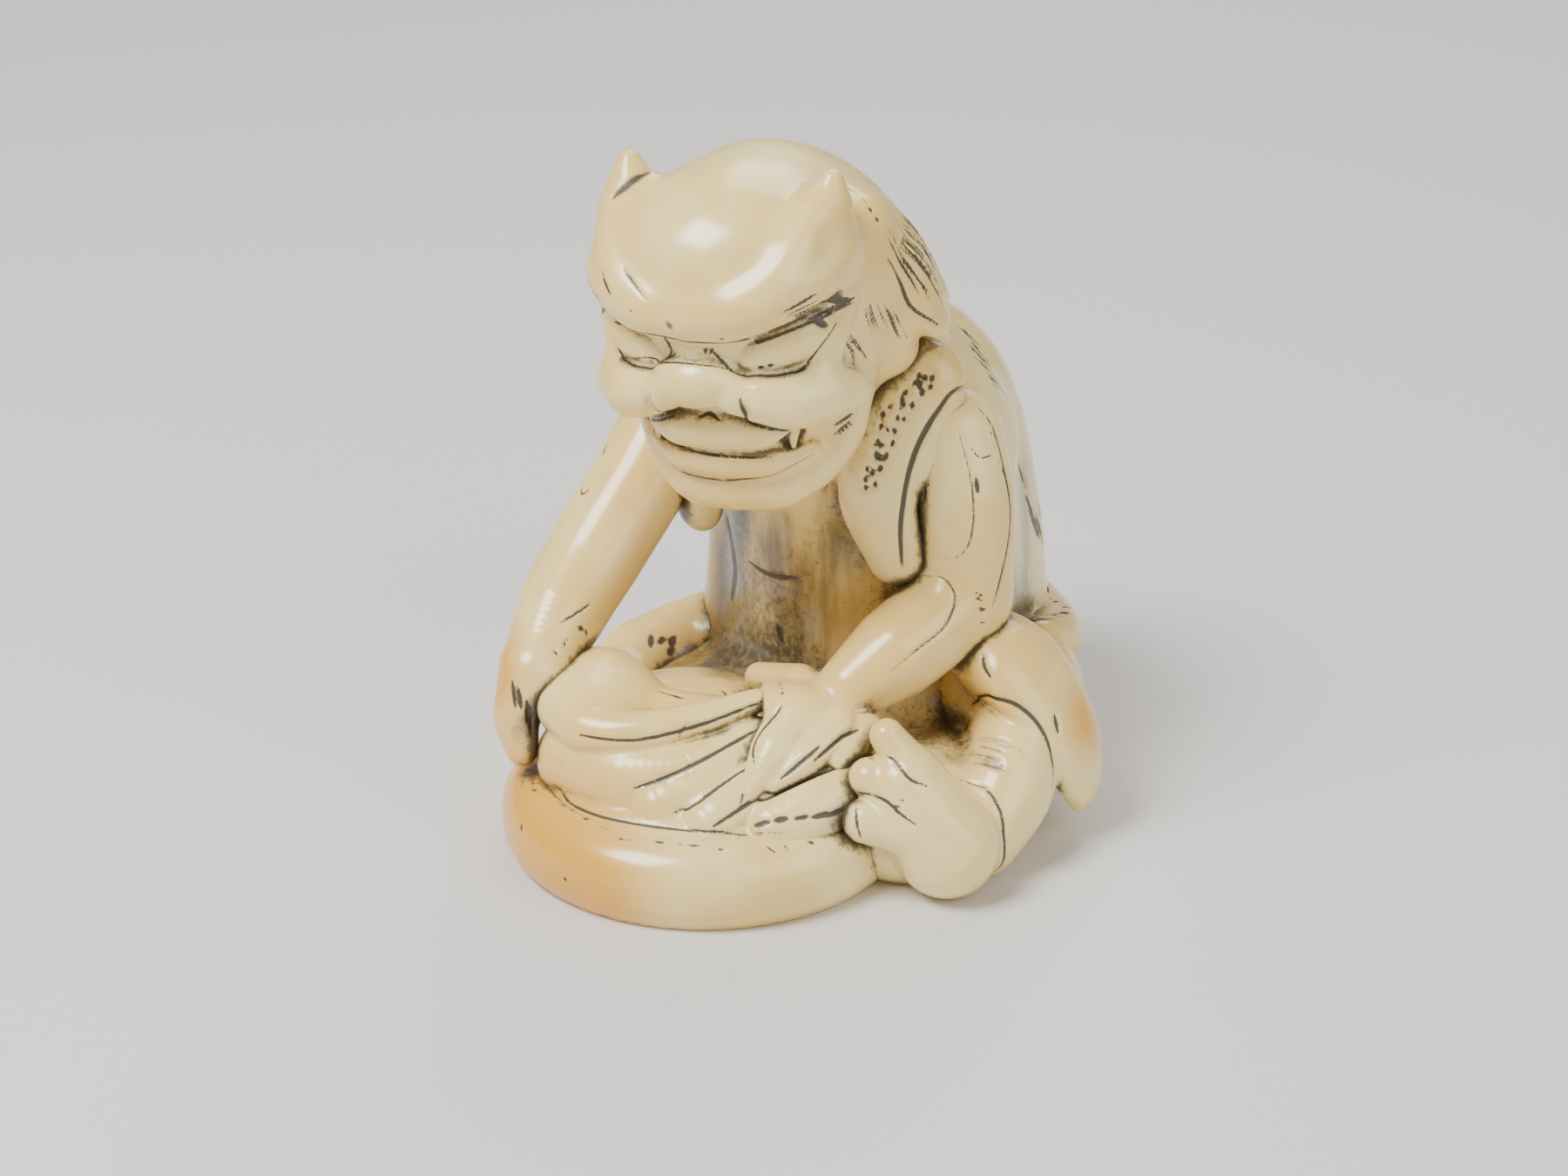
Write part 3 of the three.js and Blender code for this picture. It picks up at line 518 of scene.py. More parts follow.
def head_cuts():
    """In the head's own frame."""
    eye = [
        stroke([(6.0, -3.7, 2.0), (5.6, -4.4, 1.4), (4.6, -5.1, 0.3), (3.4, -6.0, 0.2), (2.1, -6.4, 0.5),
                (1.3, -6.6, 1.2)], 0.1, 0.08),
        stroke([(5.2, -4.5, 2.5), (5.7, -4.2, 2.1)], 0.3, 0.1),
        stroke([(1.9, -6.6, 0.9), (1.0, -6.7, 1.6)], 0.12, 0.08),
        *hatch(10, [(4.3, -6.5, 3.9), (5.0, -5.1, 2.7)], [(5.7, -5.1, 4.4), (6.6, -1.7, 2.3)], 0.1, 0.06,
            1.0, 0.2, 3),
        *hatch(7, [(5.4, -4.8, 3.6), (5.6, -4.5, 3.1)], [(6.2, -3.0, 3.4), (6.4, -2.2, 2.6)], 0.13, 0.07,
            1.0, 0.3, 4),
    ]
    cheek = [
        stroke([(2.4, -7.5, -0.2), (2.35, -7.2, -1.0), (2.0, -6.2, -2.1)], 0.12, 0.12),
        stroke([(1.9, -6.2, -2.1), (2.7, -5.9, -2.6), (3.8, -4.9, -3.1), (4.7, -3.6, -3.5)], 0.1, 0.06),
        *hatch(8, [(5.4, -3.0, -2.5), (4.7, -3.5, -5.0)], [(6.4, -1.7, -1.9), (5.5, -1.8, -4.3)], 0.09,
            0.05, 0.9, 0.4, 5),
        *hatch(8, [(6.0, -3.3, 0.4), (6.5, -2.4, 1.0)], [(6.7, -2.4, -1.6), (6.5, -1.0, -1.6)], 0.09, 0.05,
            0.9, 0.4, 6),
        *hatch(9, [(6.6, -1.8, 2.2), (7.0, 0.2, 1.4)], [(6.5, -0.8, -0.4), (7.2, 1.4, -1.4)], 0.09, 0.05,
            0.8, 0.4, 7),
    ]
    hair = [
        stroke([(7.2, 0.4, 3.4), (7.2, 0.9, 1.8), (7.7, 1.2, 0.4), (8.6, 2.1, -1.0)], 0.14, 0.1),
        *hatch(16, [(6.9, 1.0, 4.4), (6.4, 4.0, 4.4), (4.4, 7.0, 4.4)],
            [(8.4, 2.0, -0.8), (7.8, 5.0, -1.2), (5.6, 8.2, -1.6)], 0.12, 0.08, 1.0, 0.4, 8),
        *hatch(30, [(7.0, 1.2, 3.6), (5.2, 6.6, 3.6), (0.2, 9.4, 3.6)],
            [(8.3, 3.0, -1.4), (6.4, 7.6, -1.8), (0.2, 9.8, -2.2)], 0.1, 0.06, 1.0, 0.5, 9),
    ]
    return [
        *both_sides(eye + cheek + hair),
        # brow's lower edge, nose, bridge with its ribs, and the pupils
        stroke([(-4.5, -5.4, 2.3), (-2.6, -7.0, 2.7), (0.5, -7.2, 2.4), (3.0, -6.1, 2.1), (5.2, -4.6, 2.5),
                (6.2, -3.0, 2.5)], 0.13, 0.07),
        stroke([(-4.4, -5.3, 0.3), (-3.0, -6.3, 0.9), (-1.1, -7.0, 1.2), (0.3, -7.1, 1.2),
                (2.0, -6.4, 0.6)], 0.09, 0.06),
        stroke([(-1.1, -7.2, 2.6), (-1.6, -6.6, 1.3)], 0.14, 0.08),
        *hatch(5, [(0.3, -6.8, 2.0), (1.1, -6.7, 2.0)], [(0.3, -6.8, 1.5), (1.0, -6.6, 1.4)], 0.08, 0.05,
            0.7, 0.2, 10),
        stroke([(2.95, -6.2, 0.75), (3.1, -6.2, 0.8)], 0.17, 0.15),
        stroke([(3.4, -6.1, 0.8), (3.55, -6.1, 0.85)], 0.17, 0.15),
        stroke([(-3.4, -5.8, 0.8), (-3.2, -5.9, 0.8)], 0.15, 0.12),
        stroke([(-0.6, -6.3, -2.0), (0.0, -6.2, -1.8), (0.6, -6.4, -2.0)], 0.14, 0.1),
        # mouth, and the fold under the lower lip, whose stain paints the shadow under the lip
        stroke([(-3.4, -5.0, -4.0), (-0.9, -5.9, -4.2), (1.1, -5.9, -4.3), (2.6, -5.6, -4.3)], 0.1, 0.06),
        stroke([(-3.2, -4.8, -5.7), (-1.6, -5.4, -5.9), (0.8, -5.5, -5.8), (3.0, -5.2, -5.3),
                (4.2, -4.3, -4.9)], 0.12, 0.05, 0.6),
        # horns: a crack that ends in two pits, and the groove behind the far one
        stroke([(4.6, 2.2, 6.6), (5.6, 1.7, 5.9), (6.4, 1.2, 5.3)], 0.06, 0.04, 0.7),
        stroke([(6.3, 1.3, 5.5), (6.4, 1.2, 5.3)], 0.14, 0.1),
        stroke([(6.6, 1.1, 5.0), (6.7, 1.1, 4.9)], 0.16, 0.1),
        stroke([(-3.7, -0.8, 7.8), (-4.3, -1.9, 7.7), (-4.8, -2.7, 7.3)], 0.3, 0.06, 0.6),
        # hollow at the far temple, with its strokes, and small pits in the brow
        *hatch(5, [(-3.5, -5.8, 5.7), (-3.1, -6.2, 5.3)], [(-1.8, -7.1, 4.5), (-1.5, -7.2, 4.2)], 0.1,
            0.05, 0.7, 0.4, 11),
        *hatch(4, [(-4.5, -5.8, 5.4), (-4.2, -6.0, 4.9)], [(-3.7, -6.8, 4.4), (-3.4, -7.0, 4.1)], 0.09,
            0.05, 0.8, 0.3, 12),
        stroke([(-0.7, -7.5, 3.6), (-0.5, -7.5, 3.3)], 0.3, 0.03, 0.45),
        stroke([(1.7, -7.2, 2.8), (1.8, -7.1, 2.7)], 0.12, 0.08, 0.9),
        stroke([(-2.6, -7.2, 4.0), (-2.4, -7.2, 3.9)], 0.1, 0.05, 0.7),
    ]


def torso_cuts():
    """The vest, the bare belly and the back."""
    return [
        # punched dots and the armhole of the vest
        *punches(11, 3, [(6.9, 0.4, 24.1), (5.5, -1.0, 22.0), (5.0, -2.1, 18.3)],
            [(7.7, 0.9, 24.1), (6.7, -0.7, 21.8), (5.9, -1.9, 18.4)], 0.2, 2),
        stroke([(8.4, 2.6, 23.1), (8.3, 1.2, 23.1), (7.9, 0.5, 22.2), (7.4, -0.3, 20.8), (7.1, -0.9, 19.0),
                (6.9, -1.2, 16.6), (6.8, -0.9, 14.2)], 0.2, 0.16),
        # tool marks down the back
        *hatch(30, [(8.4, 6.6, 22.0), (8.3, 9.4, 14.0), (6.0, 13.0, 14.0)],
            [(8.5, 7.4, 20.6), (7.6, 11.6, 10.5), (5.0, 13.6, 12.0)], 0.17, 0.08, 1.0, 0.6, 3),
        *hatch(26, [(3.0, 12.6, 21.0), (0, 15.6, 16.0), (-7.0, 12.0, 12.0)],
            [(2.0, 13.6, 20.0), (-1.0, 15.8, 13.5), (-8.0, 10.6, 12.0)], 0.16, 0.07, 1.0, 0.6, 4),
        *hatch(14, [(4.4, 7.7, 24.2), (7.6, 5.2, 22.6)], [(6.6, 8.6, 22.4), (8.4, 6.4, 20.8)], 0.15, 0.07,
            1.0, 0.6, 5),
        # waist roll
        *hatch(26, [(9.6, 5.4, 10.2), (10.2, 9.0, 8.8), (4.0, 15.4, 8.0), (-6.0, 15.0, 7.0)],
            [(11.2, 6.6, 9.6), (10.0, 10.4, 8.0), (2.0, 16.4, 6.4),
            (-8.0, 13.4, 6.0)], 0.17, 0.08, 1.0, 0.6, 6),
        # belly: a fold and old streaks
        stroke([(-3.4, 0.4, 11.5), (-1.6, -0.1, 11.4), (0.4, -0.3, 11.8)], 0.2, 0.1, 0.9),
        stroke([(-1.3, 0.0, 8.6), (-1.0, 0.0, 7.8)], 0.3, 0.08, 1.0),
        stroke([(-6.2, 2.2, 12.6), (-5.0, 1.3, 10.6), (-5.8, 2.1, 8.2)], 0.5, 0.06, 1.0),
    ]


def left_arm_cuts():
    """The muscles, the elbow and the slits of the fingers."""
    return [
        stroke([(8.9, 0.8, 21.2), (9.6, 0.8, 19.0), (10.0, 0.5, 16.9), (9.8, 0.2, 15.5), (9.3, -0.1, 15.0),
                (8.5, -0.2, 14.8)], 0.1, 0.06, 0.55),
        stroke([(9.0, 2.4, 22.2), (9.9, 2.8, 20.6), (10.6, 2.8, 18.6), (10.9, 2.6, 16.4),
                (10.9, 1.9, 14.0), (10.9, 1.0, 12.4)], 0.12, 0.09, 0.8),
        *hatch(7, [(9.5, 2.2, 21.4), (10.4, 2.6, 18.2)], [(10.1, 2.6, 20.6), (10.8, 3.0, 17.0)], 0.07,
            0.04, 0.8, 0.7, 3),
        stroke([(9.3, 1.2, 20.4), (9.7, 1.5, 19.9), (10.2, 2.4, 20.0)], 0.07, 0.05, 0.8),
        stroke([(9.8, 1.0, 19.0), (10.0, 0.9, 18.3)], 0.16, 0.1),
        stroke([(7.7, -0.1, 18.6), (7.4, -0.4, 18.3), (7.3, -0.6, 17.7)], 0.1, 0.06),
        # elbow, and the muscle of the forearm
        stroke([(7.6, -0.3, 13.8), (8.9, -0.3, 13.9), (9.6, -0.4, 13.2), (9.7, -1.4, 12.0),
                (9.1, -2.9, 11.2), (8.4, -4.2, 10.3)], 0.11, 0.07, 0.6),
        *hatch(6, [(10.1, 0.0, 13.6), (10.6, 0.2, 11.6)], [(10.7, 0.8, 13.0), (10.9, 0.9, 11.4)], 0.09,
            0.05, 1.0, 0.6, 4),
        # wrist, and the fingers' slits
        *hatch(6, [(3.0, -6.2, 9.9), (4.5, -7.9, 9.2)], [(3.6, -6.9, 9.8), (4.6, -7.6, 9.3)], 0.12, 0.06,
            0.9, 0.6, 5),
        stroke([(7.3, -8.6, 7.8), (6.8, -9.6, 7.1), (6.2, -10.4, 6.4)], 0.16, 0.14),
        stroke([(8.2, -6.6, 8.2), (7.6, -7.9, 7.6), (7.2, -9.0, 7.1)], 0.16, 0.14),
        stroke([(4.7, -8.2, 9.0), (4.6, -8.9, 8.2), (4.5, -9.9, 7.4), (4.9, -10.4, 6.8)], 0.14, 0.1),
    ]


def right_arm_cuts():
    """The shoulder, the wrist and the slits of the fingers."""
    return [
        *hatch(7, [(-7.0, -11.6, 10.2), (-6.4, -8.4, 11.2)], [(-6.6, -11.4, 9.8), (-6.2, -8.2, 10.2)],
            0.12, 0.07, 1.0, 0.7, 3),
        stroke([(-7.1, -10.6, 11.2), (-6.8, -9.6, 11.4), (-6.5, -8.6, 11.7)], 0.1, 0.06),
        *hatch(5, [(-8.2, -12.9, 9.4), (-6.4, -13.3, 7.4)], [(-7.6, -13.6, 7.6), (-5.8, -13.6, 6.0)], 0.16,
            0.12, 1.0, 0.4, 4),
        *hatch(5, [(-9.6, -0.4, 23.0), (-10.4, -1.6, 21.0)], [(-10.2, -2.0, 21.6), (-10.8, -2.6, 19.6)],
            0.1, 0.06, 0.9, 0.6, 5),
        stroke([(-10.6, -5.6, 16.6), (-9.9, -6.0, 16.5), (-9.4, -5.8, 16.8)], 0.1, 0.06),
        stroke([(-10.3, -3.6, 18.2), (-9.8, -3.9, 17.6)], 0.09, 0.05),
    ]


def left_leg_cuts():
    """The fold and wrinkles of the knee, the ankle and the toes."""
    return [
        stroke([(9.4, 1.2, 6.6), (10.3, 0.8, 7.4), (11.6, -0.2, 8.2), (13.0, 0.0, 8.1), (14.0, 0.6, 7.0),
                (14.8, 0.6, 5.5), (14.9, 0.2, 4.0)], 0.15, 0.14),
        stroke([(10.8, 0.4, 10.1), (11.1, 0.1, 9.6), (11.6, -0.1, 9.2)], 0.14, 0.08),
        stroke([(14.4, 1.4, 7.4), (14.7, 1.3, 6.5)], 0.16, 0.08),
        # folds of the knee
        *hatch(7, [(10.8, -0.2, 6.0), (12.0, -2.5, 5.2)], [(14.3, -0.6, 6.0), (14.4, -2.2, 5.0)], 0.13,
            0.1, 0.45, 0.4, 3),
        stroke([(11.8, -3.2, 5.1), (13.2, -3.0, 4.8), (14.2, -3.2, 3.9), (14.6, -3.5, 2.6),
                (14.5, -3.5, 1.1), (14.0, -3.9, 0.4)], 0.12, 0.1, 0.9),
        # toes
        stroke([(10.3, -7.4, 7.7), (11.1, -7.6, 7.4), (11.8, -7.7, 6.9), (12.6, -7.3, 6.6)], 0.12, 0.1),
        stroke([(9.4, -8.6, 5.8), (10.2, -8.5, 5.9), (11.0, -8.5, 5.8), (11.8, -8.4, 5.3),
                (12.7, -8.2, 4.8)], 0.12, 0.1),
        *hatch(6, [(11.2, -8.2, 6.2), (11.4, -8.4, 5.4)], [(11.9, -8.2, 5.9), (12.0, -8.5, 5.0)], 0.1,
            0.05, 0.8, 0.8, 4),
        stroke([(9.6, -9.0, 5.4), (10.0, -9.5, 4.8), (10.2, -9.4, 4.0)], 0.11, 0.06),
    ]


def right_leg_cuts():
    """Dark nicks where the thigh meets the belly, wide and close, so their stain also paints the shade there.
    """
    return hatch(14, [(-10.4, 1.2, 6.0), (-4.4, 0.8, 6.8)], [(-9.6, 0.2, 5.2), (-4.0, 0.2, 5.6)], 0.3,
        0.06, 1.0, 0.8, 3)


def tray_cuts():
    """Nicks on and inside the rim."""
    return [
        *hatch(7, [(6.4, -12.8, 4.2), (9.0, -9.8, 3.9)], [(7.8, -12.5, 3.5), (9.6, -9.8, 3.2)], 0.1, 0.06,
            0.9, 0.7, 3),
        *hatch(26, [(-9.4, -10.4, 4.2), (-6.2, -14.4, 4.2), (0.5, -16.4, 4.2), (5.3, -14.5, 4.2)],
               [(-9.2, -11.2, 4.2), (-5.2, -15.0, 4.2), (1.6, -16.0, 4.2),
                   (6.2, -13.8, 4.2)], 0.13, 0.05, 0.6, 0.9, 4),
        stroke([(-1.5, -17.5, 1.8), (-1.3, -17.5, 1.7)], 0.14, 0.08),
        stroke([(-5.2, -16.2, 3.0), (-5.0, -16.3, 2.7)], 0.12, 0.06),
    ]


def cloth_cuts():
    """Creases that fan from the hand, and the edge at the rim."""
    return [
        stroke([(-3.1, -14.1, 7.6), (-0.8, -13.3, 7.6), (1.3, -11.3, 8.0), (2.6, -9.4, 8.4),
                (4.2, -7.9, 9.0)], 0.13, 0.1),
        stroke([(0.1, -14.0, 5.6), (1.2, -13.2, 6.1), (2.4, -11.7, 6.8), (3.2, -9.8, 7.4),
                (4.4, -8.4, 8.7)], 0.15, 0.14),
        stroke([(2.3, -13.7, 4.8), (3.1, -13.1, 5.3), (3.7, -11.8, 6.0), (4.3, -10.5, 7.1)], 0.15, 0.14),
        stroke([(4.3, -13.3, 4.5), (5.1, -12.1, 5.2), (6.3, -10.4, 6.2), (7.4, -8.9, 6.8),
                (8.2, -7.5, 7.2)], 0.16, 0.14),
        stroke([(4.9, -10.6, 6.6), (4.8, -11.3, 5.9), (4.9, -12.0, 5.3)], 0.13, 0.1),
        # a crack across two folds, and slits in the slack cloth
        stroke([(-0.3, -9.4, 8.2), (1.0, -11.0, 8.3), (1.2, -11.8, 7.4), (2.0, -12.2, 6.8),
                (2.3, -12.6, 6.0)], 0.06, 0.04, 0.55),
        *hatch(4, [(-2.4, -9.8, 8.8), (-1.0, -5.4, 8.6)], [(-0.4, -9.4, 8.2), (0.8, -5.6, 8.6)], 0.13,
            0.09, 1.0, 0.5, 3),
        stroke([(0.4, -8.1, 8.3), (0.0, -6.4, 8.4), (0.4, -4.6, 8.4), (1.8, -3.8, 8.2)], 0.09, 0.06, 0.8),
        # where the cloth is tucked into the rim
        stroke([(-4.8, -14.2, 4.5), (-3.7, -14.8, 4.3), (-1.1, -15.2, 4.3), (1.2, -14.8, 4.3),
                (2.9, -14.2, 4.3), (4.8, -13.2, 4.3), (7.3, -11.6, 4.3)], 0.12, 0.08, 0.9),
        *hatch(9, [(5.4, -12.8, 4.6), (8.4, -9.8, 4.8)], [(6.6, -11.9, 4.8), (9.0, -8.8, 5.0)], 0.2, 0.08,
            1.0, 0.6, 4),
    ]


def engrave(points, normals, cuts, away):
    """Cuts the strokes in. Each route is settled on the skin and is a bar that is finer at both ends; a
    point's share in it is its depth in the bar over half the stroke's width. A point sinks along the normal
    by the smooth step of its best share, and keeps that share, times the stroke's darkness, as its stain."""
    lengths = np.cumsum([len(route) for route, *_ in cuts])[:-1]
    routes = np.split(settle(away, np.vstack([route for route, *_ in cuts]), 1.2, 3)[0], lengths)
    sink, stain = np.zeros(len(points)), np.full(len(points), -1.0)
    for route, (_, width, depth, dark) in zip(routes, cuts):
        ends = np.sin(np.pi * np.linspace(0.08, 0.92, len(route))) ** 0.6
        bar = limb(route, width * (0.3 + 0.7 * ends))
        near = np.flatnonzero(((points - bar.at) ** 2).sum(axis=1) < (bar.reach + 2 * width) ** 2)
        share = -bar.away(points[near]) / width
        stain[near] = np.maximum(stain[near], np.where(share > 0, share * dark, share))
        sink[near] = np.maximum(sink[near], depth * smoothstep(share, -0.3, 0.8))
    return points - sink[:, None] * normals, stain


# ---------------------------------------------------------------- the material
class Value:
    """A shader socket that takes Python's operators, each of which adds a Math node."""

    def __init__(self, nodes, socket):
        self.nodes, self.socket = nodes, socket

    def math(self, operation, *values):
        return self.nodes.add("ShaderNodeMath", {"operation": operation}, values)

    def __add__(self, other):
        return self.math("ADD", self, other)

    def __sub__(self, other):
        return self.math("SUBTRACT", self, other)

    def __rsub__(self, other):
        return self.math("SUBTRACT", other, self)

    def __mul__(self, other):
        return self.math("MULTIPLY", self, other)

    def above(self, low, high):
        """0 under low, 1 over high and smooth between."""
        settings = {"interpolation_type": "SMOOTHSTEP"}
        return self.nodes.add("ShaderNodeMapRange", settings, (self, low, high, 0.0, 1.0))

    __radd__, __rmul__ = __add__, __mul__


class Nodes:
    """Adds nodes to a material's tree: a node type, its settings, then the values or links of its sockets."""

    def __init__(self, material):
        self.tree = material.node_tree
        self.tree.nodes.clear()

    def node(self, kind, settings=(), values=()):
        made = self.tree.nodes.new(kind)
        for name, value in dict(settings).items():
            setattr(made, name, value)
        pairs = values.items() if isinstance(values, dict) else enumerate(values)
        for key, value in pairs:
            if isinstance(value, Value):
                self.tree.links.new(value.socket, made.inputs[key])
            else:
                made.inputs[key].default_value = value
        return made

    def add(self, kind, settings=(), values=(), output=0):
        return Value(self, self.node(kind, settings, values).outputs[output])

    def attribute(self, name):
        return self.add("ShaderNodeAttribute", {"attribute_name": name}, (), "Fac")

    def noise(self, place, scale, detail=3.0, roughness=0.5, stretch=(1, 1, 1)):
        moved = self.add("ShaderNodeVectorMath", {"operation": "MULTIPLY"}, (place, stretch))
        values = {"Vector": moved, "Scale": scale, "Detail": detail, "Roughness": roughness}
        return self.add("ShaderNodeTexNoise", {}, values)

    def mix(self, amount, first, second):
        """The first colour, turned by the amount into the second: sockets 0, 6 and 7 of a colour Mix."""
        return self.add("ShaderNodeMix", {"data_type": "RGBA"}, {0: amount, 6: first, 7: second}, 2)


def paint(look):
    """Polished ivory: cream that turns honey where it was handled, grime and painted shade in the recesses and
    a dark stain in every cut, broken up by noise."""
    material = bpy.data.materials.new("polished_ivory")
    material.use_nodes = True
    n = Nodes(material)
    place = n.add("ShaderNodeTexCoord", {}, (), "Object")
    stain, hollow_shade, honey, grimy_and_shaded = (n.attribute(name) for name in ("stain", "hollow_shade", "honey", "grimy_and_shaded"))
    cloudy = n.noise(place, 130.0, 3.0)
    grain = n.noise(place, 900.0, 4.0, 0.6, (1, 1, 0.35))
    speck = n.noise(place, 2600.0, 3.0, 0.7)
    base = n.mix(cloudy.above(0.38, 0.66), look.ivory, look.ivory_pale)
    base = n.mix(grain.above(0.5, 0.9) * 0.2, base, look.ivory_warm)
    base = n.mix((honey * (0.7 + cloudy * 0.6)).above(0.1, 1.0), base, look.honey)
    streak = n.noise(place, 420.0, 4.0, 0.65, (1, 1, 0.22))
    # painted shade with grime: hollows darken toward the grime colour by how shut in they are, and the patched
    # hollows in streaks
    film_and_shade = hollow_shade + grimy_and_shaded * (streak * 1.5 - 0.2) + (cloudy - 0.5) * 0.25
    base = n.mix(film_and_shade.above(0.28, 0.95) * 0.88, base, look.grime_and_shade)
    base = n.mix((speck * (hollow_shade * 1.1 + grimy_and_shaded * 0.3 + 0.42)).above(0.42, 0.60) * 0.6, base, look.stain)
    dark = (stain + (grain - 0.5) * 0.5).above(0.02, 0.42)
    base = n.mix(dark * 0.95, base, look.stain)
    rough = 0.2 + grain * 0.06 + hollow_shade * 0.2 + dark * 0.3
    relief = {"Strength": 0.2, "Distance": 0.03 * MM, "Height": grain + speck * hollow_shade}
    bump = n.add("ShaderNodeBump", {}, relief)
    shader = n.node("ShaderNodeBsdfPrincipled", {}, {
        "Base Color": base, "Roughness": rough, "Normal": bump, "IOR": 1.54, "Coat Weight": 0.25,
        "Coat Roughness": 0.12, "Subsurface Weight": 0.12, "Subsurface Scale": 1.2 * MM,
        "Subsurface Radius": (1.0, 0.6, 0.3),
    })
    n.node("ShaderNodeOutputMaterial", {}, {"Surface": Value(n, shader.outputs[0])})
    return material


# ---------------------------------------------------------------- pieces
EXTENT = {
    "head": ((-9.5, -13.5, 15.5), (9.5, 8.5, 36.5), 0.13),
    "torso": ((-13, -8, -1), (13, 18.5, 27.5), 0.175),
    "left_arm": ((-1, -13, 3), (13, 7, 25), 0.14),
    "right_arm": ((-13, -17, 2), (-3, 7, 25), 0.14),
    "left_leg": ((-1, -12, -1), (18, 14, 13), 0.15),
    "right_leg": ((-16, -8, -1), (0, 12, 10), 0.16),
    "tray": ((-11.5, -18.5, -1), (10.7, 4, 5.2), 0.16),
    "cloth": ((-11, -17, -1), (11.5, 3, 12), 0.14),
}
HONEY = (  # middle of each warm, handled patch, and its radius
    ((-9.5, -12.5, 1.2), 4.0),
    ((-6.0, -16.0, 1.4), 4.2),
    ((-0.5, -18.0, 1.2), 4.6),
    ((-9.6, -12.3, 8.6), 2.6),
    ((16.4, 3.6, 7.0), 2.6),
)
GRIME_AND_SHADE = (  # middle of each grimy hollow, darkened also as painted shade, and its radius
    ((-1.0, 0.0, 12.0), 4.5),
    ((-1.0, -1.0, 7.5), 4.5),
    ((-6.0, 0.5, 6.5), 4.5),
    ((-6.0, 2.0, 11.0), 2.6),
    ((3.5, 0.5, 16.0), 3.6),
    ((7.5, 0.0, 5.5), 3.0),
    ((10.5, -2.0, 5.5), 1.8),
    ((8.8, -9.4, 4.8), 1.1),
    ((-7.2, -13.6, 6.4), 1.6),
    ((8.2, 9.5, 15.0), 4.0),
    ((9.0, 7.0, 10.0), 2.2),
)


def patches(points, places):
    """Soft round patches: the sum of exp(-(distance / radius) squared) over their middles."""
    return sum(np.exp(-((points - middle) ** 2).sum(axis=1) / radius**2) for middle, radius in places)


CUTS = {"head": head_cuts, "torso": torso_cuts, "left_arm": left_arm_cuts, "right_arm": right_arm_cuts,
        "left_leg": left_leg_cuts, "right_leg": right_leg_cuts, "tray": tray_cuts, "cloth": cloth_cuts}


def mesh_of(name, place, quads, values):
    """A smooth mesh of quads in metres, with a number at each point for every named value."""
    mesh = bpy.data.meshes.new(name)
    mesh.vertices.add(len(place))
    mesh.vertices.foreach_set("co", place.astype(np.float32).ravel())
    mesh.loops.add(quads.size)
    mesh.loops.foreach_set("vertex_index", quads.astype(np.int32).ravel())
    mesh.polygons.add(len(quads))
    mesh.polygons.foreach_set("loop_start", np.arange(0, quads.size, 4, dtype=np.int32))
    mesh.polygons.foreach_set("use_smooth", np.ones(len(quads), bool))
    for key, value in values.items():
        mesh.attributes.new(key, "FLOAT", "POINT").data.foreach_set("value", value.astype(np.float32))
    mesh.update(calc_edges=True)
    return mesh


def carve(name, look):
    """One carved piece: the part's own skin, settled onto it, ground flat below, with its strokes cut in."""
    low, high, cell = EXTENT[name]
    part = PARTS[name]
    cell *= look.cell
    points, quads = skin(lambda p: np.maximum(part.away(p), -p[:, 2]), low, high, cell)
    flat = points[:, 2] < 0.6 * cell
    points[~flat], normals_up = settle(part.away, points[~flat], 0.5 * cell)
    points[flat, 2] = 0.0
    normals = np.tile([0.0, 0.0, -1.0], (len(points), 1))
    normals[~flat] = normals_up
    points[:, 2] = np.maximum(points[:, 2], 0)
    # how shut in each point is: the measure that paints shade into the hollows, and also roughens them
    hollow_shade = recess(points, normals)
    stain = np.full(len(points), -1.0)
    cuts = [(part.world(route), *rest) for route, *rest in CUTS[name]()]
    carved, stain[~flat] = engrave(points[~flat], normals[~flat], cuts, part.away)
    points[~flat] = np.maximum(carved, (-np.inf, -np.inf, 0.0))
    values = {"stain": stain, "hollow_shade": hollow_shade, "honey": patches(points, HONEY),
        "grimy_and_shaded": patches(points, GRIME_AND_SHADE)}
    mesh = mesh_of(name, (points - MIDDLE) * MM, quads, values)
    piece = bpy.data.objects.new(name, mesh)
    bpy.context.scene.collection.objects.link(piece)
    mesh.materials.append(bpy.data.materials.get("polished_ivory") or paint(look))
    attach(piece, "root")
    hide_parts("carving")
    return piece


def colour(name, about, value):
    """A colour setting with its default, opaque."""
    return bpy.props.FloatVectorProperty(name=name, description=about, subtype="COLOR", size=4, min=0, max=1,
                                         default=(*value, 1.0))


class NetsukeLook(bpy.types.PropertyGroup):
    """The colours of the ivory and the floor, and how fine the skin is."""

    cell: bpy.props.FloatProperty(name="Cell", description="Size of the skin's cells, 1 is the finest used",
                                  default=1.0, min=0.5, max=4.0)
    ivory: colour("Ivory", "Body colour of the ivory", (0.87, 0.61, 0.19))
    ivory_pale: colour("Pale ivory", "Ivory where it is bleached", (0.94, 0.76, 0.33))
    ivory_warm: colour("Warm ivory", "Colour of the grain", (0.74, 0.40, 0.12))
    honey: colour("Honey", "Patina where it was handled", (0.80, 0.40, 0.04))
    # the grime colour also paints shade into the hollows
    grime_and_shade: colour("Grime_and_shade", "Dull film in the recesses", (0.16, 0.115, 0.06))
    stain: colour("Stain", "Dark stain in the cuts", (0.03, 0.022, 0.015))
    floor: colour("Floor", "Pale floor", (0.72, 0.71, 0.69))


class NETSUKE_OT_head(bpy.types.Operator):
    """Carve the demon's head, with its face, horns and hair"""

    bl_idname = "netsuke.head"
    bl_label = "Carve the head"

    def execute(self, context):
        carve("head", context.scene.netsuke_look)
        return {"FINISHED"}


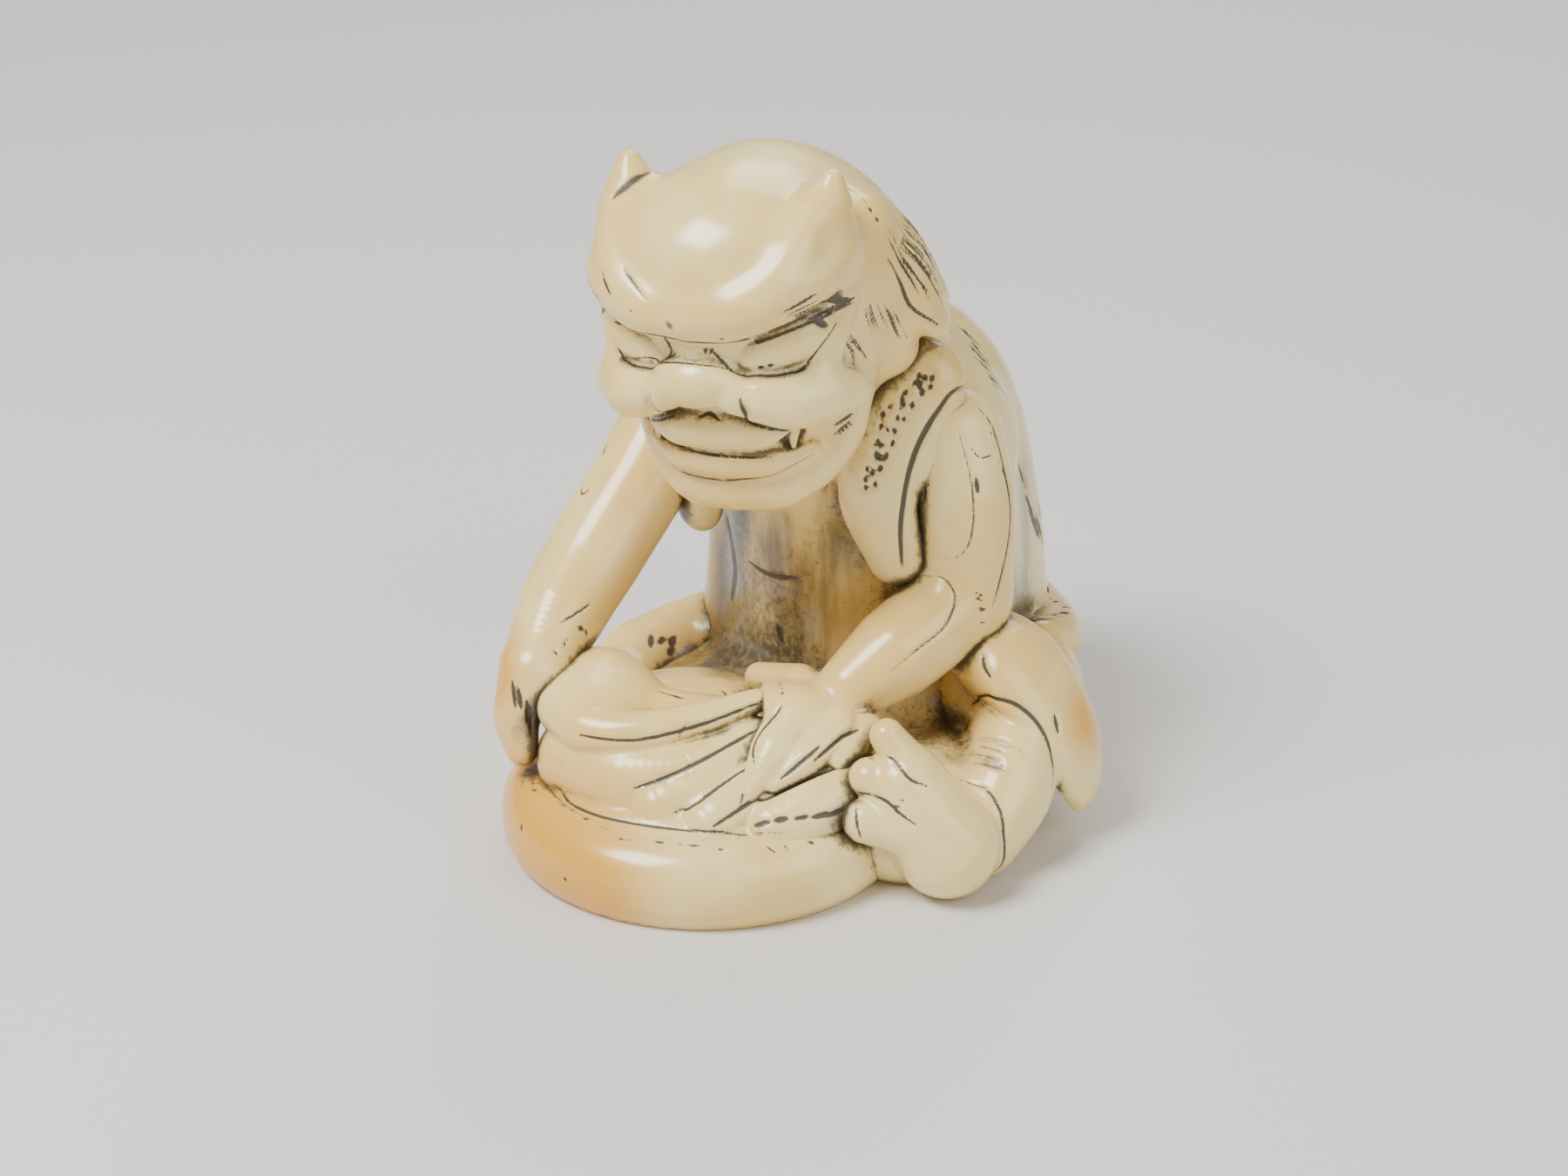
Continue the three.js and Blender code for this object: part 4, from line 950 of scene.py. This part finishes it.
class NETSUKE_OT_body(bpy.types.Operator):
    """Carve the trunk, with its vest and the roll at the waist"""

    bl_idname = "netsuke.body"
    bl_label = "Carve the body"

    def execute(self, context):
        carve("torso", context.scene.netsuke_look)
        return {"FINISHED"}


class NETSUKE_OT_limbs(bpy.types.Operator):
    """Carve both arms with their hands, and both legs with the foot and the flap of cloth"""

    bl_idname = "netsuke.limbs"
    bl_label = "Carve the limbs"

    def execute(self, context):
        for name in ("left_arm", "right_arm", "left_leg", "right_leg"):
            carve(name, context.scene.netsuke_look)
        return {"FINISHED"}


class NETSUKE_OT_tray(bpy.types.Operator):
    """Carve the round tray and the cloth that is pressed down over it"""

    bl_idname = "netsuke.tray"
    bl_label = "Carve the tray and the cloth"

    def execute(self, context):
        for name in ("tray", "cloth"):
            carve(name, context.scene.netsuke_look)
        return {"FINISHED"}


FOCUS = Vector((-3.905, 3.177, 9.22)) * MM  # where the camera looks
AZIMUTH, ELEVATION, DISTANCE = 35.0, 24.0, 170.0 * MM
LENS = 74.8
FLOOR = 0.6  # half the floor's side
LAMPS = (  # name, azimuth, elevation, distance, side and watts
    ("key", -20, 55, 0.30, 0.13, 1.25),
    ("fill", 80, 30, 0.35, 0.25, 0.5),
    ("rim", 200, 45, 0.35, 0.20, 0.5),
)


def toward(azimuth, elevation):
    """The unit vector out to a view, with azimuth 0 in front and turning to the demon's left."""
    a, e = math.radians(azimuth), math.radians(elevation)
    return Vector((math.sin(a) * math.cos(e), -math.cos(a) * math.cos(e), math.sin(e)))


def aim(thing, back, distance, focus):
    """Puts a lamp or camera at a distance back from the focus, and turns it to face the focus."""
    thing.location = focus + back * distance
    thing.rotation_mode = "QUATERNION"
    thing.rotation_quaternion = (-back).to_track_quat("-Z", "Y")


class NETSUKE_OT_stage(bpy.types.Operator):
    """Lay the floor and set the lights and the camera"""

    bl_idname = "netsuke.stage"
    bl_label = "Set the stage"

    def execute(self, context):
        scene = context.scene
        mesh = bpy.data.meshes.new("floor")
        corners = [(x * FLOOR, y * FLOOR, 0) for x, y in ((-1, -1), (1, -1), (1, 1), (-1, 1))]
        mesh.from_pydata(corners, [], [(0, 1, 2, 3)])
        floor = bpy.data.objects.new("floor", mesh)
        scene.collection.objects.link(floor)
        material = bpy.data.materials.new("pale_floor")
        material.use_nodes = True
        shader = material.node_tree.nodes["Principled BSDF"]
        shader.inputs["Base Color"].default_value = scene.netsuke_look.floor
        shader.inputs["Roughness"].default_value = 0.7
        mesh.materials.append(material)
        world = bpy.data.worlds.new("studio")
        world.use_nodes = True
        world.node_tree.nodes["Background"].inputs["Color"].default_value = (1.0, 0.97, 0.93, 1.0)
        world.node_tree.nodes["Background"].inputs["Strength"].default_value = 0.38
        scene.world = world
        for name, azimuth, elevation, distance, size, watts in LAMPS:
            light = bpy.data.lights.new(name, "AREA")
            light.energy, light.size = watts, size
            lamp = bpy.data.objects.new(name, light)
            scene.collection.objects.link(lamp)
            aim(lamp, toward(azimuth, elevation), distance, Vector((0, 0, 0.015)))
        camera = bpy.data.objects.new("camera", bpy.data.cameras.new("camera"))
        camera.data.lens, camera.data.sensor_width = LENS, 36
        camera.data.clip_start, camera.data.clip_end = 0.01, 10
        scene.collection.objects.link(camera)
        aim(camera, toward(AZIMUTH, ELEVATION), DISTANCE, FOCUS)
        scene.camera = camera
        return {"FINISHED"}


class NETSUKE_PT_panel(bpy.types.Panel):
    """Every setting and every step, in order"""

    bl_label = "Netsuke"
    bl_idname = "NETSUKE_PT_panel"
    bl_space_type = "VIEW_3D"
    bl_region_type = "UI"
    bl_category = "Netsuke"

    def draw(self, context):
        for name in NetsukeLook.__annotations__:
            self.layout.prop(context.scene.netsuke_look, name)
        for operator in OPERATORS:
            self.layout.operator(operator.bl_idname)


OPERATORS = (NETSUKE_OT_head, NETSUKE_OT_body, NETSUKE_OT_limbs, NETSUKE_OT_tray, NETSUKE_OT_stage)
CLASSES = (NetsukeLook, *OPERATORS, NETSUKE_PT_panel)


def register():
    for made in CLASSES:
        bpy.utils.register_class(made)
    bpy.types.Scene.netsuke_look = bpy.props.PointerProperty(type=NetsukeLook)


def unregister():
    del bpy.types.Scene.netsuke_look
    for made in reversed(CLASSES):
        bpy.utils.unregister_class(made)


def main():
    """Runs every step."""
    register()
    for piece in (bpy.ops.netsuke.head, bpy.ops.netsuke.body, bpy.ops.netsuke.limbs, bpy.ops.netsuke.tray):
        piece()
    bpy.ops.netsuke.stage()


if __name__ == "__main__":
    main()
